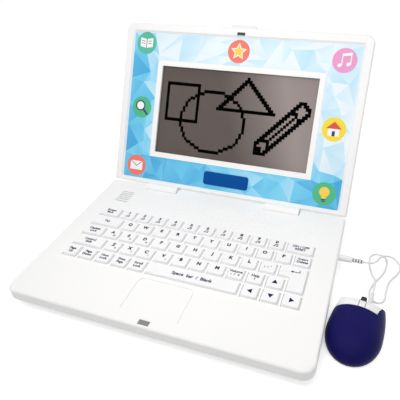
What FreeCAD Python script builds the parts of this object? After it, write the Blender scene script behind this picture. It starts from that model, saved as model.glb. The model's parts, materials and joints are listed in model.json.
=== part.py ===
import FreeCAD, Part
import math
import os

os.makedirs("parts", exist_ok=True)
V = FreeCAD.Vector

# Base housing, in millimetres; the origin is the middle of the footprint on the table
base_width = 280.0
base_depth = 193.0
deck_height = 22.0
deck_thickness = 2.2
case_wall = 2.2
upright_wall_height = 10.5
front_corner_radius = 18.0
rear_corner_radius = 6.0
deck_edge_round = 2.5
pan_taper = 16.0
pan_corner_radius = 8.0
foot_height = 1.5
foot_radius = 6.0
foot_inset = 14.0
running_gap = 0.3

# Lid, hinged along the rear of the deck
lid_open_angle = 117.4
lid_front_overhang = 2.0
lid_foot = 4.2
lid_thickness = 12.0
lid_bezel_depth = 6.0
lid_top_radius = 9.0
lid_foot_radius = 4.0
lid_front_round = 1.8
lid_rear_round = 4.0
lid_closed_gap = 1.0
lid_panel_thickness = 2.0
finger_tab_width = 29.0
finger_tab_height = 4.3
finger_tab_thickness = 3.6

# Hinge barrels on the lid, turning on steel pins held in the base
hinge_setback = 5.0
hinge_drop = 2.0
barrel_radius = 6.5
barrel_length = 38.0
barrel_middle = 72.0
trough_gap = 0.5
trough_wall = 2.0
hinge_ear_thickness = 6.0
pin_radius = 1.25
pin_running_clearance = 0.06

# Printed sheet, screen and magnet in the lid
print_side_margin = 10.0
print_top_margin = 10.0
print_foot = 9.5
print_thickness = 0.3
print_recess = 2.6
print_corner_radius = 3.0
print_edge_gap = 0.3
screen_width = 182.0
screen_foot = 43.5
screen_top = 144.0
screen_frame_border = 6.0
screen_frame_height = 0.6
screen_overlap = 3.0
window_thickness = 1.2
display_thickness = 2.5
display_board_width = 120.0
display_board_height = 84.0
display_board_thickness = 1.2
magnet_width = 9.0
magnet_depth = 3.6
magnet_thickness = 2.0
catch_width = 10.0
catch_depth = 5.0
catch_thickness = 1.2
catch_sink = 0.3
catch_below_lid_top = 6.6

# Keyboard: thirteen columns and five rows fill the deck between these margins
key_columns = 13
key_rows = 5
keyboard_side_margin = 21.375
keyboard_front_margin = 53.6
keyboard_rear_margin = 56.4
key_row_shift_share = 0.58
key_cell_margin = 2.5
key_top_margin = 2.9
key_rise = 2.5
key_travel = 1.8
key_opening_clearance = 0.3
key_flange_lip = 0.5
key_flange_thickness = 1.2
key_plunger_size = 5.0
key_plunger_length = 0.7
membrane_thickness = 0.8
membrane_pad_height = 1.2
board_thickness = 1.6
board_border = 1.5
chip_radius = 8.0
chip_height = 1.5
chip_x = 45.0

# Ribbed band, speaker slots and touch pad moulded in the deck
rib_count = 9
rib_pitch = 3.6
rib_groove_width = 1.4
rib_groove_depth = 0.5
rib_band_setback = 14.0
rib_band_side_margin = 23.0
slot_count = 6
slot_length = 16.0
slot_side_margin = 24.0
speaker_radius = 14.0
speaker_depth = 6.5
speaker_cone_depth = 2.6
speaker_magnet_radius = 8.4
speaker_ring_wall = 1.4
pad_width = 55.0
pad_length = 38.0
pad_gap_to_keys = 7.0
pad_corner_radius = 6.0
pad_groove_width = 1.2
pad_groove_depth = 0.5

# Batteries: three cells side by side along X
cell_count = 3
cell_diameter = 14.2
cell_length = 50.5
cell_pitch = 15.0
cell_room = 0.4
cell_nub_length = 1.2
cell_nub_radius = 2.7
contact_spring_radius = 3.7
contact_room = 4.0
contact_thickness = 0.5
bay_wall = 1.6
bay_rear_gap = 6.0
door_clearance = 0.3
door_screw_tab = 9.0

# Screws
screw_shank_radius = 1.25
screw_head_radius = 2.8
screw_head_height = 1.6
screw_pilot_radius = 1.3
screw_hole_radius = 1.6
screw_boss_radius = 3.6
screw_well_radius = 5.0
screw_well_shelf = 4.5
screw_bite = 6.0
front_screw_margin = 50.0
front_screw_setback = 22.0
rear_screw_margin = 60.0
rear_screw_setback = 36.0
lid_screw_side_margin = 22.0
lid_screw_margin = 16.0

# Mouse socket in the right wall, and the plug in it
socket_y = 39.5
socket_drop = 6.0
socket_depth = 12.0
socket_size = 7.0
plug_pin_radius = 1.75
plug_pin_length = 10.5
plug_pin_tip_length = 2.0
plug_pin_clearance = 0.1
plug_radius = 3.1
plug_length = 13.0
relief_length = 10.0
relief_rib_count = 4
relief_rib_radius = 2.6
relief_neck_radius = 1.8

# Mouse, standing askew on the table beside the base
mouse_from_wall = 23.3
mouse_y = -39.0
mouse_turn = 7.5
mouse_half_width = 22.9
mouse_rear_reach = 29.2
mouse_front_reach = 62.0
mouse_crown = 16.0
mouse_waist_height = 6.0
mouse_nose_middle = 13.0
mouse_nose_half_width = 34.0
mouse_nose_reach = 23.5
mouse_nose_crown = 16.9
mouse_nose_height = 5.2
mouse_wall = 1.8
mouse_floor = 2.2
mouse_glide_height = 0.5
mouse_split_gap = 0.5
mouse_click_room = 1.0
button_rear = 18.3
button_skirt = 10.5
grip_inner_x = 14.0
grip_click_room = 0.7
grip_rear_height = 18.6
grip_front = 34.0
grip_front_height = 11.9
wheel_radius = 5.0
wheel_width = 5.0
wheel_middle = 30.6
wheel_height = 13.5
wheel_cradle_drop = 0.2
wheel_cradle_reach = 1.3
wheel_slot_gap = 0.5
wheel_axle_radius = 0.6
wheel_axle_room = 0.45
wheel_strip_wall = 1.6
wheel_axle_clearance = 0.06
wheel_post_thickness = 1.4
wheel_side_gap = 0.3
mouse_board_thickness = 1.4
mouse_board_lift = 2.0
mouse_board_half_width = 12.0
mouse_lens_radius = 4.0
mouse_lens_clearance = 0.1
mouse_glide_width = 22.0
mouse_glide_length = 5.0
mouse_relief_x = 5.0
mouse_relief_length = 15.0
mouse_relief_root = 2.7
mouse_relief_root_radius = 2.4
mouse_relief_tip_radius = 1.6
cord_diameter = 2.1
cord_exit_height = 7.0
cord_straight_end = 8.0

# Places worked out from the sizes above
front_y = -base_depth / 2
rear_y = base_depth / 2
split_z = deck_height - upright_wall_height
deck_under_z = deck_height - deck_thickness
pan_floor_z = foot_height + deck_thickness
hinge_y = rear_y - hinge_setback
hinge_z = deck_height - hinge_drop
rim_d = -(hinge_drop + lid_closed_gap)
lid_split_d = rim_d - lid_bezel_depth
lid_back_d = rim_d - lid_thickness
panel_front_d = rim_d - print_recess
panel_back_d = panel_front_d - lid_panel_thickness
lid_height = base_depth - hinge_setback + lid_front_overhang
catch_from_hinge = lid_height - catch_below_lid_top
print_width = base_width - 2 * print_side_margin
print_top = lid_height - print_top_margin
keyboard_width = base_width - 2 * keyboard_side_margin
keyboard_front_y = front_y + keyboard_front_margin
keyboard_rear_y = rear_y - keyboard_rear_margin
key_pitch_x = keyboard_width / key_columns
key_pitch_y = (keyboard_rear_y - keyboard_front_y) / key_rows
key_row_shift = key_row_shift_share * key_pitch_x
rib_band_width = base_width - 2 * rib_band_side_margin
slot_left_end = -base_width / 2 + slot_side_margin
front_screw_x = base_width / 2 - front_screw_margin
rear_screw_x = base_width / 2 - rear_screw_margin
lid_screw_x = base_width / 2 - lid_screw_side_margin
mouse_x = base_width / 2 + mouse_from_wall
flange_top_z = deck_under_z - running_gap
flange_bottom_z = flange_top_z - key_flange_thickness
plunger_bottom_z = flange_bottom_z - key_plunger_length
membrane_pad_top_z = plunger_bottom_z - key_travel - running_gap
membrane_top_z = membrane_pad_top_z - membrane_pad_height
board_top_z = membrane_top_z - membrane_thickness
board_bottom_z = board_top_z - board_thickness


def save(name, shape):
    shape.exportStep(f"parts/{name}.step")
    print(f"{name}: {len(shape.Solids)} solids, {shape.Volume:.1f} mm3, valid {shape.isValid()}")


def box(x0, x1, y0, y1, z0, z1):
    return Part.makeBox(x1 - x0, y1 - y0, z1 - z0, V(x0, y0, z0))


def post(x, y, z0, z1, radius):
    return Part.makeCylinder(radius, z1 - z0, V(x, y, z0), V(0, 0, 1))


def rod_x(x0, x1, y, z, radius):
    return Part.makeCylinder(radius, x1 - x0, V(x0, y, z), V(1, 0, 0))


def rounded_outline(x0, x1, y0, y1, low_radius, high_radius, z):
    """Rectangle with rounded corners: low_radius at y0, high_radius at y1."""
    corners = [
        (x1 - low_radius, y0 + low_radius, low_radius),
        (x1 - high_radius, y1 - high_radius, high_radius),
        (x0 + high_radius, y1 - high_radius, high_radius),
        (x0 + low_radius, y0 + low_radius, low_radius),
    ]
    arcs = []
    for quarter, (cx, cy, radius) in enumerate(corners):
        points = []
        for share in (-1.0, -0.5, 0.0):
            angle = math.pi / 2 * (quarter + share)
            points.append(V(cx + radius * math.cos(angle), cy + radius * math.sin(angle), z))
        arcs.append(Part.Arc(*points).toShape())
    edges = []
    for i, arc in enumerate(arcs):
        following = arcs[(i + 1) % len(arcs)]
        edges.append(arc)
        edges.append(Part.makeLine(arc.Vertexes[-1].Point, following.Vertexes[0].Point))
    return Part.Wire(edges)


def slab(x0, x1, y0, y1, low_radius, high_radius, z0, z1):
    wire = rounded_outline(x0, x1, y0, y1, low_radius, high_radius, z0)
    return Part.Face(wire).extrude(V(0, 0, z1 - z0))


def edges_at(shape, z):
    """Edges that lie wholly at height z."""
    found = []
    for edge in shape.Edges:
        if abs(edge.BoundBox.ZMin - z) < 1e-6 and abs(edge.BoundBox.ZMax - z) < 1e-6:
            found.append(edge)
    return found


def polygon(points):
    return Part.makePolygon(points + [points[0]])


def on_lid(shape):
    """Lid shapes are drawn with X across, Y up the lid and Z out of its face, hinge axis at zero."""
    placed = shape.copy()
    placed.rotate(V(0, 0, 0), V(1, 0, 0), 180.0 - lid_open_angle)
    placed.translate(V(0, hinge_y, hinge_z))
    return placed


# Key cells: each key is a name and the corners of its cell in the grid
keyboard_left = -keyboard_width / 2
keyboard_right = keyboard_width / 2
shifted_right = keyboard_right - key_pitch_x - key_row_shift
shifted_left = shifted_right - 10 * key_pitch_x
letters_left = keyboard_left + 2 * key_pitch_x


def row_front(row):
    return keyboard_rear_y - (row + 1) * key_pitch_y


def cell(row, x0, x1):
    y0 = row_front(row)
    return [(x0, y0), (x1, y0), (x1, y0 + key_pitch_y), (x0, y0 + key_pitch_y)]


def cell_run(row, x0, count):
    return [cell(row, x0 + i * key_pitch_x, x0 + (i + 1) * key_pitch_x) for i in range(count)]


enter_left = keyboard_right - key_pitch_x
enter_cell = [
    (enter_left, row_front(3)),
    (keyboard_right, row_front(3)),
    (keyboard_right, row_front(1)),
    (shifted_right, row_front(1)),
    (shifted_right, row_front(2)),
    (enter_left, row_front(2)),
]
space_left = keyboard_left + 5 * key_pitch_x
space_right = space_left + 5 * key_pitch_x
arrow_cells = cell_run(4, space_right, 3)
mode_cells = cell_run(4, keyboard_left, 5)
right_of_letters = cell_run(3, letters_left + 7 * key_pitch_x, 3)
key_cells = {
    "level_key": [cell(0, keyboard_left, shifted_left)],
    "number_keys": cell_run(0, shifted_left, 10),
    "power_key": [cell(0, shifted_right, keyboard_right)],
    "tab_key": [cell(1, keyboard_left, letters_left)],
    "upper_letter_keys": cell_run(1, letters_left, 10),
    "delete_key": cell_run(1, enter_left, 1),
    "caps_key": [cell(2, keyboard_left, shifted_left)],
    "middle_letter_keys": cell_run(2, shifted_left, 9),
    "punctuation_key": cell_run(2, shifted_right - key_pitch_x, 1),
    "enter_key": [enter_cell],
    "shift_key": [cell(3, keyboard_left, letters_left)],
    "lower_letter_keys": cell_run(3, letters_left, 7),
    "volume_key": right_of_letters[0:1],
    "help_key": right_of_letters[1:2],
    "up_arrow_key": right_of_letters[2:3],
    "space_bar": [cell(4, space_left, space_right)],
    "left_arrow_key": arrow_cells[0:1],
    "down_arrow_key": arrow_cells[1:2],
    "right_arrow_key": arrow_cells[2:3],
}
for i, mode_cell in enumerate(mode_cells):
    key_cells[f"mode_key_{i + 1}"] = [mode_cell]


def inset_outline(corners, margin, z):
    """Corners of a right-angled outline, drawn counter-clockwise, moved in by half the margin."""
    points = []
    count = len(corners)
    for i, (x, y) in enumerate(corners):
        bx, by = corners[i - 1]
        ax, ay = corners[(i + 1) % count]
        shift_x = 0.0
        shift_y = 0.0
        for (px, py), (qx, qy) in (((bx, by), (x, y)), ((x, y), (ax, ay))):
            length = math.hypot(qx - px, qy - py)
            shift_x -= (qy - py) / length
            shift_y += (qx - px) / length
        points.append(V(x + shift_x * margin / 2, y + shift_y * margin / 2, z))
    return polygon(points)


def key_middle(corners):
    """Middle of the widest part of a key, where its plunger stands."""
    right = max(x for x, y in corners)
    top = max(y for x, y in corners)
    left = min(x for x, y in corners if y == top)
    return (left + right) / 2, top - key_pitch_y / 2


# Keys: tapered caps with a flange that holds them under the deck
def key_solid(corners):
    cap = Part.makeLoft([
        inset_outline(corners, key_cell_margin, flange_bottom_z),
        inset_outline(corners, key_cell_margin, deck_height),
        inset_outline(corners, key_top_margin, deck_height + key_rise),
    ], True, True)
    flange_margin = key_cell_margin - 2 * (key_opening_clearance + key_flange_lip)
    flange_face = Part.Face(inset_outline(corners, flange_margin, flange_bottom_z))
    flange = flange_face.extrude(V(0, 0, key_flange_thickness))
    x, y = key_middle(corners)
    half = key_plunger_size / 2
    plunger = box(x - half, x + half, y - half, y + half, plunger_bottom_z, flange_top_z)
    return cap.fuse([flange, plunger]).removeSplitter()


for name, cells in key_cells.items():
    save(name, Part.makeCompound([key_solid(corners) for corners in cells]))

all_cells = [corners for cells in key_cells.values() for corners in cells]

# Main board and the rubber key membrane on it
board_x = keyboard_width / 2 - board_border
board_y0 = keyboard_front_y - board_border
board_y1 = keyboard_rear_y + board_border
board = box(-board_x, board_x, board_y0, board_y1, board_bottom_z, board_top_z)
board = board.fuse(post(chip_x, 0, board_bottom_z - chip_height, board_bottom_z, chip_radius))
save("main_board", board)

membrane = box(-board_x, board_x, board_y0, board_y1, board_top_z, membrane_top_z)
pads = []
for corners in all_cells:
    x, y = key_middle(corners)
    half = key_plunger_size / 2
    pads.append(box(x - half, x + half, y - half, y + half, membrane_top_z, membrane_pad_top_z))
save("key_membrane", membrane.fuse(pads))

# Places of the screws that hold the two base halves together
case_screw_places = [
    (-front_screw_x, front_y + front_screw_setback),
    (0.0, front_y + front_screw_setback),
    (front_screw_x, front_y + front_screw_setback),
    (-rear_screw_x, rear_y - rear_screw_setback),
    (rear_screw_x, rear_y - rear_screw_setback),
]
well_shelf_z = foot_height + screw_well_shelf
boss_meet_z = well_shelf_z + deck_thickness

# Upper base case: deck, upright walls, hinge troughs, key openings
upper = slab(-base_width / 2, base_width / 2, front_y, rear_y,
             front_corner_radius, rear_corner_radius, split_z, deck_height)
upper = upper.makeFillet(deck_edge_round, edges_at(upper, deck_height))
upper_envelope = upper.copy()
upper = upper.cut(slab(
    -base_width / 2 + case_wall, base_width / 2 - case_wall, front_y + case_wall, rear_y - case_wall,
    front_corner_radius - case_wall, rear_corner_radius - case_wall, split_z, deck_under_z))

trough_radius = barrel_radius + trough_gap
trough_half = barrel_length / 2 + trough_gap
ear_half = trough_half + hinge_ear_thickness
solid_ears = []
trough_cuts = []
for side in (-1, 1):
    middle = side * barrel_middle
    block = rod_x(middle - ear_half, middle + ear_half, hinge_y, hinge_z, trough_radius + trough_wall)
    solid_ears.append(block.common(upper_envelope))
    trough_cuts.append(rod_x(middle - trough_half, middle + trough_half, hinge_y, hinge_z, trough_radius))
    trough_cuts.append(rod_x(middle - ear_half, middle + ear_half, hinge_y, hinge_z, pin_radius))

speaker_x = slot_left_end + slot_length / 2
speaker_y = hinge_y - rib_band_setback - rib_pitch * (slot_count / 2 + 0.5)
speaker_ring_depth = speaker_depth / 2
speaker_ring = post(speaker_x, speaker_y, deck_under_z - speaker_ring_depth, deck_under_z,
                    speaker_radius + running_gap + speaker_ring_wall)
speaker_ring = speaker_ring.cut(post(speaker_x, speaker_y, deck_under_z - speaker_ring_depth,
                                     deck_under_z, speaker_radius + running_gap))
bosses = [post(x, y, boss_meet_z, deck_under_z, screw_boss_radius) for x, y in case_screw_places]
upper = upper.fuse(solid_ears + bosses + [speaker_ring])

deck_cuts = list(trough_cuts)
for x, y in case_screw_places:
    deck_cuts.append(post(x, y, boss_meet_z, well_shelf_z + screw_bite + deck_thickness, screw_pilot_radius))
for corners in all_cells:
    opening = Part.Face(inset_outline(corners, key_cell_margin - 2 * key_opening_clearance, deck_under_z))
    deck_cuts.append(opening.extrude(V(0, 0, deck_thickness)))
for i in range(rib_count):
    rib_y = hinge_y - rib_band_setback - i * rib_pitch
    deck_cuts.append(box(-rib_band_width / 2, rib_band_width / 2, rib_y - rib_groove_width, rib_y,
                         deck_height - rib_groove_depth, deck_height))
    if 1 <= i <= slot_count:
        deck_cuts.append(box(slot_left_end, slot_left_end + slot_length, rib_y - rib_groove_width, rib_y,
                             deck_under_z, deck_height))

pad_top_y = keyboard_front_y - pad_gap_to_keys
pad_floor_z = deck_height - pad_groove_depth
pad_outer = slab(-pad_width / 2, pad_width / 2, pad_top_y - pad_length, pad_top_y,
                 pad_groove_width, pad_corner_radius, pad_floor_z, deck_height)
pad_inner = slab(-pad_width / 2 + pad_groove_width, pad_width / 2 - pad_groove_width,
                 pad_top_y - 2 * pad_length, pad_top_y - pad_groove_width,
                 pad_groove_width, pad_corner_radius - pad_groove_width, pad_floor_z, deck_height)
deck_cuts.append(pad_outer.cut(pad_inner))

catch_y = hinge_y - catch_from_hinge
catch_top_z = deck_height - catch_sink
catch_y0 = catch_y - catch_depth / 2
catch_y1 = catch_y + catch_depth / 2
catch_bottom_z = catch_top_z - catch_thickness
deck_cuts.append(box(-catch_width / 2, catch_width / 2, catch_y0, catch_y1, catch_bottom_z, deck_height))
socket_z = deck_height - socket_drop
wall_inner_x = base_width / 2 - case_wall
socket_hole_radius = plug_pin_radius + running_gap
deck_cuts.append(rod_x(wall_inner_x, base_width / 2, socket_y, socket_z, socket_hole_radius))
save("base_top_case", upper.cut(deck_cuts))

# Steel catch plate let into the deck, under the lid's magnet
save("catch_plate", box(-catch_width / 2, catch_width / 2, catch_y0, catch_y1, catch_bottom_z, catch_top_z))

# Hinge pins, fixed in the ears of the upper case
save("hinge_pins", Part.makeCompound([
    rod_x(side * barrel_middle - ear_half, side * barrel_middle + ear_half, hinge_y, hinge_z, pin_radius)
    for side in (-1, 1)]))

# Loudspeaker under the deck's slots
speaker = post(speaker_x, speaker_y, deck_under_z - speaker_cone_depth, deck_under_z, speaker_radius)
speaker = speaker.fuse(post(speaker_x, speaker_y, deck_under_z - speaker_depth, deck_under_z,
                            speaker_magnet_radius))
save("speaker", speaker)

# Jack socket behind the right wall
socket_half = socket_size / 2
socket = box(wall_inner_x - socket_depth, wall_inner_x, socket_y - socket_half, socket_y + socket_half,
             socket_z - socket_half, min(socket_z + socket_half, deck_under_z))
socket = socket.cut(rod_x(wall_inner_x - socket_depth, wall_inner_x, socket_y, socket_z,
                          plug_pin_radius + plug_pin_clearance))
save("mouse_socket", socket)

# Lower base case: a pan that tapers in at the front and sides, with the battery bay
bay_half_x = cell_length / 2 + contact_room
bay_length_y = cell_count * cell_pitch + 2 * cell_room
bay_y1 = rear_y - bay_rear_gap
bay_y0 = bay_y1 - bay_length_y
cell_z = pan_floor_z + cell_room + cell_diameter / 2
bay_roof_z = cell_z + cell_diameter / 2 + cell_room
door_y0 = bay_y0 - door_screw_tab


def pan_loft(inset, z0, z1):
    """Tapered pan: the outline narrows towards the bottom at the front and both sides."""
    wires = []
    for z in (z0, z1):
        share = (split_z - z) / (split_z - foot_height)
        taper = pan_taper * share + inset
        radius = front_corner_radius + (pan_corner_radius - front_corner_radius) * share - inset
        wires.append(rounded_outline(-base_width / 2 + taper, base_width / 2 - taper, front_y + taper,
                                     rear_y - inset, radius, rear_corner_radius - inset, z))
    return Part.makeLoft(wires, True, True)


slant = math.atan2(split_z - foot_height, pan_taper)
pan_inset = case_wall / math.sin(slant)
pan = pan_loft(0.0, foot_height, split_z)
pan = pan.cut(pan_loft(pan_inset, pan_floor_z, split_z))
bay_outer = box(-bay_half_x - bay_wall, bay_half_x + bay_wall, bay_y0 - bay_wall, bay_y1 + bay_wall,
                pan_floor_z, bay_roof_z + bay_wall / 2)
wells = [post(x, y, foot_height, boss_meet_z, screw_well_radius) for x, y in case_screw_places]
standoffs = []
standoff_radius = 3.0
for x in (-0.8 * board_x, 0.0, 0.8 * board_x):
    for y in (board_y0 + 2 * standoff_radius, board_y1 - 4 * standoff_radius):
        standoffs.append(post(x, y, pan_floor_z, board_bottom_z, standoff_radius))
door_screw_y = door_y0 + door_screw_tab / 2
door_screw_boss = post(0.0, door_screw_y, pan_floor_z + door_clearance, boss_meet_z + screw_bite / 2,
                       screw_boss_radius)
pan = pan.fuse([bay_outer] + wells + standoffs)
pan = pan.cut([
    box(-bay_half_x, bay_half_x, bay_y0, bay_y1, foot_height, bay_roof_z),
    box(-bay_half_x, bay_half_x, door_y0, bay_y1, foot_height, pan_floor_z),
])
pan = pan.fuse(door_screw_boss)
pan_cuts = []
for x, y in case_screw_places:
    pan_cuts.append(post(x, y, foot_height, well_shelf_z, screw_head_radius + running_gap))
    pan_cuts.append(post(x, y, well_shelf_z, boss_meet_z, screw_hole_radius))
pan_cuts.append(post(0.0, door_screw_y, pan_floor_z, pan_floor_z + screw_bite, screw_pilot_radius))
save("base_bottom_case", pan.cut(pan_cuts))

# Battery door, held by one screw
door = box(-bay_half_x + door_clearance, bay_half_x - door_clearance, door_y0 + door_clearance,
           bay_y1 - door_clearance, foot_height, pan_floor_z)
door = door.cut([
    post(0.0, door_screw_y, foot_height, pan_floor_z, screw_hole_radius),
    post(0.0, door_screw_y, foot_height, foot_height + screw_head_height, screw_head_radius + running_gap),
])
save("battery_door", door)


def screw(x, y, shelf_z, bite):
    """Pan-head screw seen from below: the head under the shelf, the shank upwards."""
    head = post(x, y, shelf_z - screw_head_height, shelf_z, screw_head_radius)
    return head.fuse(post(x, y, shelf_z, shelf_z + bite, screw_shank_radius))


save("battery_door_screw", screw(0.0, door_screw_y, foot_height + screw_head_height, screw_bite))
save("case_screws", Part.makeCompound([
    screw(x, y, well_shelf_z, screw_bite + deck_thickness) for x, y in case_screw_places]))

# Battery cells, plus end alternating, and their contact plates
cells = []
contacts = []
for i in range(cell_count):
    y = bay_y0 + cell_room + cell_pitch * (i + 0.5)
    direction = 1 if i % 2 == 0 else -1
    can = rod_x(-cell_length / 2, cell_length / 2 - cell_nub_length, y, cell_z, cell_diameter / 2)
    nub = rod_x(cell_length / 2 - cell_nub_length, cell_length / 2, y, cell_z, cell_nub_radius)
    battery = can.fuse(nub)
    if direction < 0:
        battery.rotate(V(0, y, cell_z), V(0, 0, 1), 180)
    cells.append(battery)
    half = cell_diameter / 2 - cell_room
    for side in (-1, 1):
        inner = bay_half_x - contact_thickness
        plate = box(-contact_thickness / 2, contact_thickness / 2, y - half, y + half,
                    cell_z - half, cell_z + half)
        plate.translate(V(side * (bay_half_x - contact_thickness / 2), 0, 0))
        spring = Part.makeCone(contact_spring_radius, cell_nub_radius, inner - cell_length / 2 - running_gap,
                               V(side * inner, y, cell_z), V(-side, 0, 0))
        contacts.append(plate.fuse(spring))
save("battery_cells", Part.makeCompound(cells))
save("battery_contacts", Part.makeCompound(contacts))

# Rubber feet under the flat of the pan: one in the middle, under the keys, and four at the corners
feet = [post(0.0, 0.0, 0.0, foot_height, foot_radius)]
for x in (-1, 1):
    foot_x = x * (base_width / 2 - pan_taper - foot_inset)
    for foot_y in (front_y + pan_taper + foot_inset, rear_y - foot_inset):
        feet.append(post(foot_x, foot_y, 0.0, foot_height, foot_radius))
save("rubber_feet", Part.makeCompound(feet))


# Lid front bezel: rim, recessed panel, screen frame, hinge barrels
def lid_slab(inset, d0, d1):
    return slab(-base_width / 2 + inset, base_width / 2 - inset, lid_foot + inset, lid_height - inset,
                lid_foot_radius - inset, lid_top_radius - inset, d0, d1)


def screen_box(border, d0, d1):
    return box(-screen_width / 2 - border, screen_width / 2 + border,
               screen_foot - border, screen_top + border, d0, d1)


lid_screw_places = [(x, s) for x in (-lid_screw_x, lid_screw_x)
                    for s in (lid_foot + lid_screw_margin, lid_height - lid_screw_margin)]
lid_boss_d = lid_back_d + case_wall + display_board_thickness
bezel = lid_slab(0.0, lid_split_d, rim_d)
bezel = bezel.makeFillet(lid_front_round, edges_at(bezel, rim_d))
bezel = bezel.cut([
    slab(-print_width / 2 - print_edge_gap, print_width / 2 + print_edge_gap, print_foot - print_edge_gap,
         print_top + print_edge_gap, print_corner_radius, print_corner_radius, panel_front_d, rim_d),
    lid_slab(case_wall, lid_split_d, panel_back_d),
])
frame_top_d = panel_front_d + screen_frame_height
barrels = []
webs = []
bores = []
for side in (-1, 1):
    x0 = side * barrel_middle - barrel_length / 2
    x1 = side * barrel_middle + barrel_length / 2
    barrels.append(rod_x(x0, x1, 0.0, 0.0, barrel_radius))
    webs.append(box(x0, x1, 0.0, lid_foot + case_wall, rim_d - lid_foot, rim_d))
    bores.append(rod_x(x0, x1, 0.0, 0.0, pin_radius + pin_running_clearance))
lid_bosses = [post(x, s, lid_boss_d, panel_back_d, screw_boss_radius) for x, s in lid_screw_places]
bezel = bezel.fuse([screen_box(screen_frame_border, panel_back_d, frame_top_d)] + barrels + webs + lid_bosses)
magnet_s = catch_from_hinge
magnet_box = box(-magnet_width / 2, magnet_width / 2, magnet_s - magnet_depth / 2,
                 magnet_s + magnet_depth / 2, rim_d - magnet_thickness, rim_d)
bezel_cuts = bores + [screen_box(0.0, panel_back_d, frame_top_d), magnet_box]
for x, s in lid_screw_places:
    bezel_cuts.append(post(x, s, lid_boss_d, lid_boss_d + screw_bite / 2, screw_pilot_radius))
save("lid_front_bezel", on_lid(bezel.cut(bezel_cuts)))
save("lid_magnet", on_lid(magnet_box))

# Lid rear cover with the finger tab on its top edge
cover = lid_slab(0.0, lid_back_d, lid_split_d)
cover = cover.makeFillet(lid_rear_round, edges_at(cover, lid_back_d))
cover = cover.cut(lid_slab(case_wall, lid_back_d + case_wall, lid_split_d))
tab_front_d = lid_split_d - running_gap
tab = slab(-finger_tab_width / 2, finger_tab_width / 2, lid_height - case_wall,
           lid_height + finger_tab_height, case_wall / 2, finger_tab_height / 2,
           tab_front_d - finger_tab_thickness, tab_front_d)
cover_bosses = [post(x, s, lid_back_d + case_wall, lid_boss_d, screw_well_radius)
                for x, s in lid_screw_places]
cover = cover.fuse([tab] + cover_bosses)
cover_cuts = []
for x, s in lid_screw_places:
    cover_cuts.append(post(x, s, lid_back_d, lid_back_d + case_wall, screw_head_radius + running_gap))
    cover_cuts.append(post(x, s, lid_back_d + case_wall, lid_boss_d, screw_hole_radius))
save("lid_rear_cover", on_lid(cover.cut(cover_cuts)))
lid_screws = [screw(x, s, lid_back_d + case_wall, lid_boss_d - lid_back_d - case_wall + screw_bite / 2)
              for x, s in lid_screw_places]
save("lid_screws", on_lid(Part.makeCompound(lid_screws)))

# Printed sheet in the recess, cut out round the raised screen frame
sheet_front_d = panel_front_d + print_thickness
sheet = slab(-print_width / 2, print_width / 2, print_foot, print_top, print_corner_radius,
             print_corner_radius, panel_front_d, sheet_front_d)
sheet = sheet.cut(screen_box(screen_frame_border + print_edge_gap / 2, panel_front_d, sheet_front_d))
save("printed_sheet", on_lid(sheet))

# Clear window, display and its board behind the panel
window_back_d = panel_back_d - window_thickness
display_back_d = window_back_d - display_thickness
save("screen_window", on_lid(screen_box(screen_overlap, window_back_d, panel_back_d)))
save("display_module", on_lid(screen_box(screen_overlap, display_back_d, window_back_d)))
screen_middle = (screen_foot + screen_top) / 2
save("display_board", on_lid(box(
    -display_board_width / 2, display_board_width / 2, screen_middle - display_board_height / 2,
    screen_middle + display_board_height / 2, display_back_d - display_board_thickness, display_back_d)))


# Mouse, drawn with Y forward from its widest section and turned into place afterwards
def on_table(shape):
    placed = shape.copy()
    placed.rotate(V(0, 0, 0), V(0, 0, 1), -mouse_turn)
    placed.translate(V(mouse_x, mouse_y, 0))
    return placed


def ellipsoid(half_x, half_y, half_z, y, z):
    ball = Part.makeSphere(1.0, V(0, 0, 0), V(0, 1, 0))
    ball.rotate(V(0, 0, 0), V(0, 1, 0), 180)
    stretch = FreeCAD.Matrix()
    stretch.scale(half_x, half_y, half_z)
    stretch.move(V(0, y, z))
    return ball.transformGeometry(stretch)


mouse_nose = mouse_nose_middle + mouse_nose_reach
side_limit = mouse_half_width + mouse_wall
rear_limit = -mouse_rear_reach - mouse_wall
front_limit = mouse_nose + mouse_wall
top_limit = 2 * (mouse_waist_height + mouse_crown)
mouse_deck_z = mouse_glide_height + mouse_floor
mouse_board_z = mouse_deck_z + mouse_board_lift
mouse_board_top_z = mouse_board_z + mouse_board_thickness
mouse_screw_y = -mouse_rear_reach / 2
core_sides = 8
far = 1000.0


def mouse_block(x0, x1, y0, y1, z0, z1):
    """Cutting block that is cut back to just outside the mouse."""
    return box(max(x0, -side_limit), min(x1, side_limit), max(y0, rear_limit), min(y1, front_limit),
               max(z0, mouse_glide_height), min(z1, top_limit))


def mouse_form():
    """Short ellipsoid behind, long one in front, rounded off by a third at the nose."""
    halves = []
    for reach, y0, y1 in ((mouse_rear_reach, -far, 0.0), (mouse_front_reach, 0.0, far)):
        body = ellipsoid(mouse_half_width, reach, mouse_crown, 0.0, mouse_waist_height)
        halves.append(body.common(mouse_block(-far, far, y0, y1, -far, far)))
    nose = ellipsoid(mouse_nose_half_width, mouse_nose_reach, mouse_nose_crown,
                     mouse_nose_middle, mouse_nose_height)
    ahead = mouse_block(-far, far, mouse_nose_middle, far, -far, far)
    return halves[0].fuse(halves[1].cut(ahead.cut(nose)))


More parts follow.
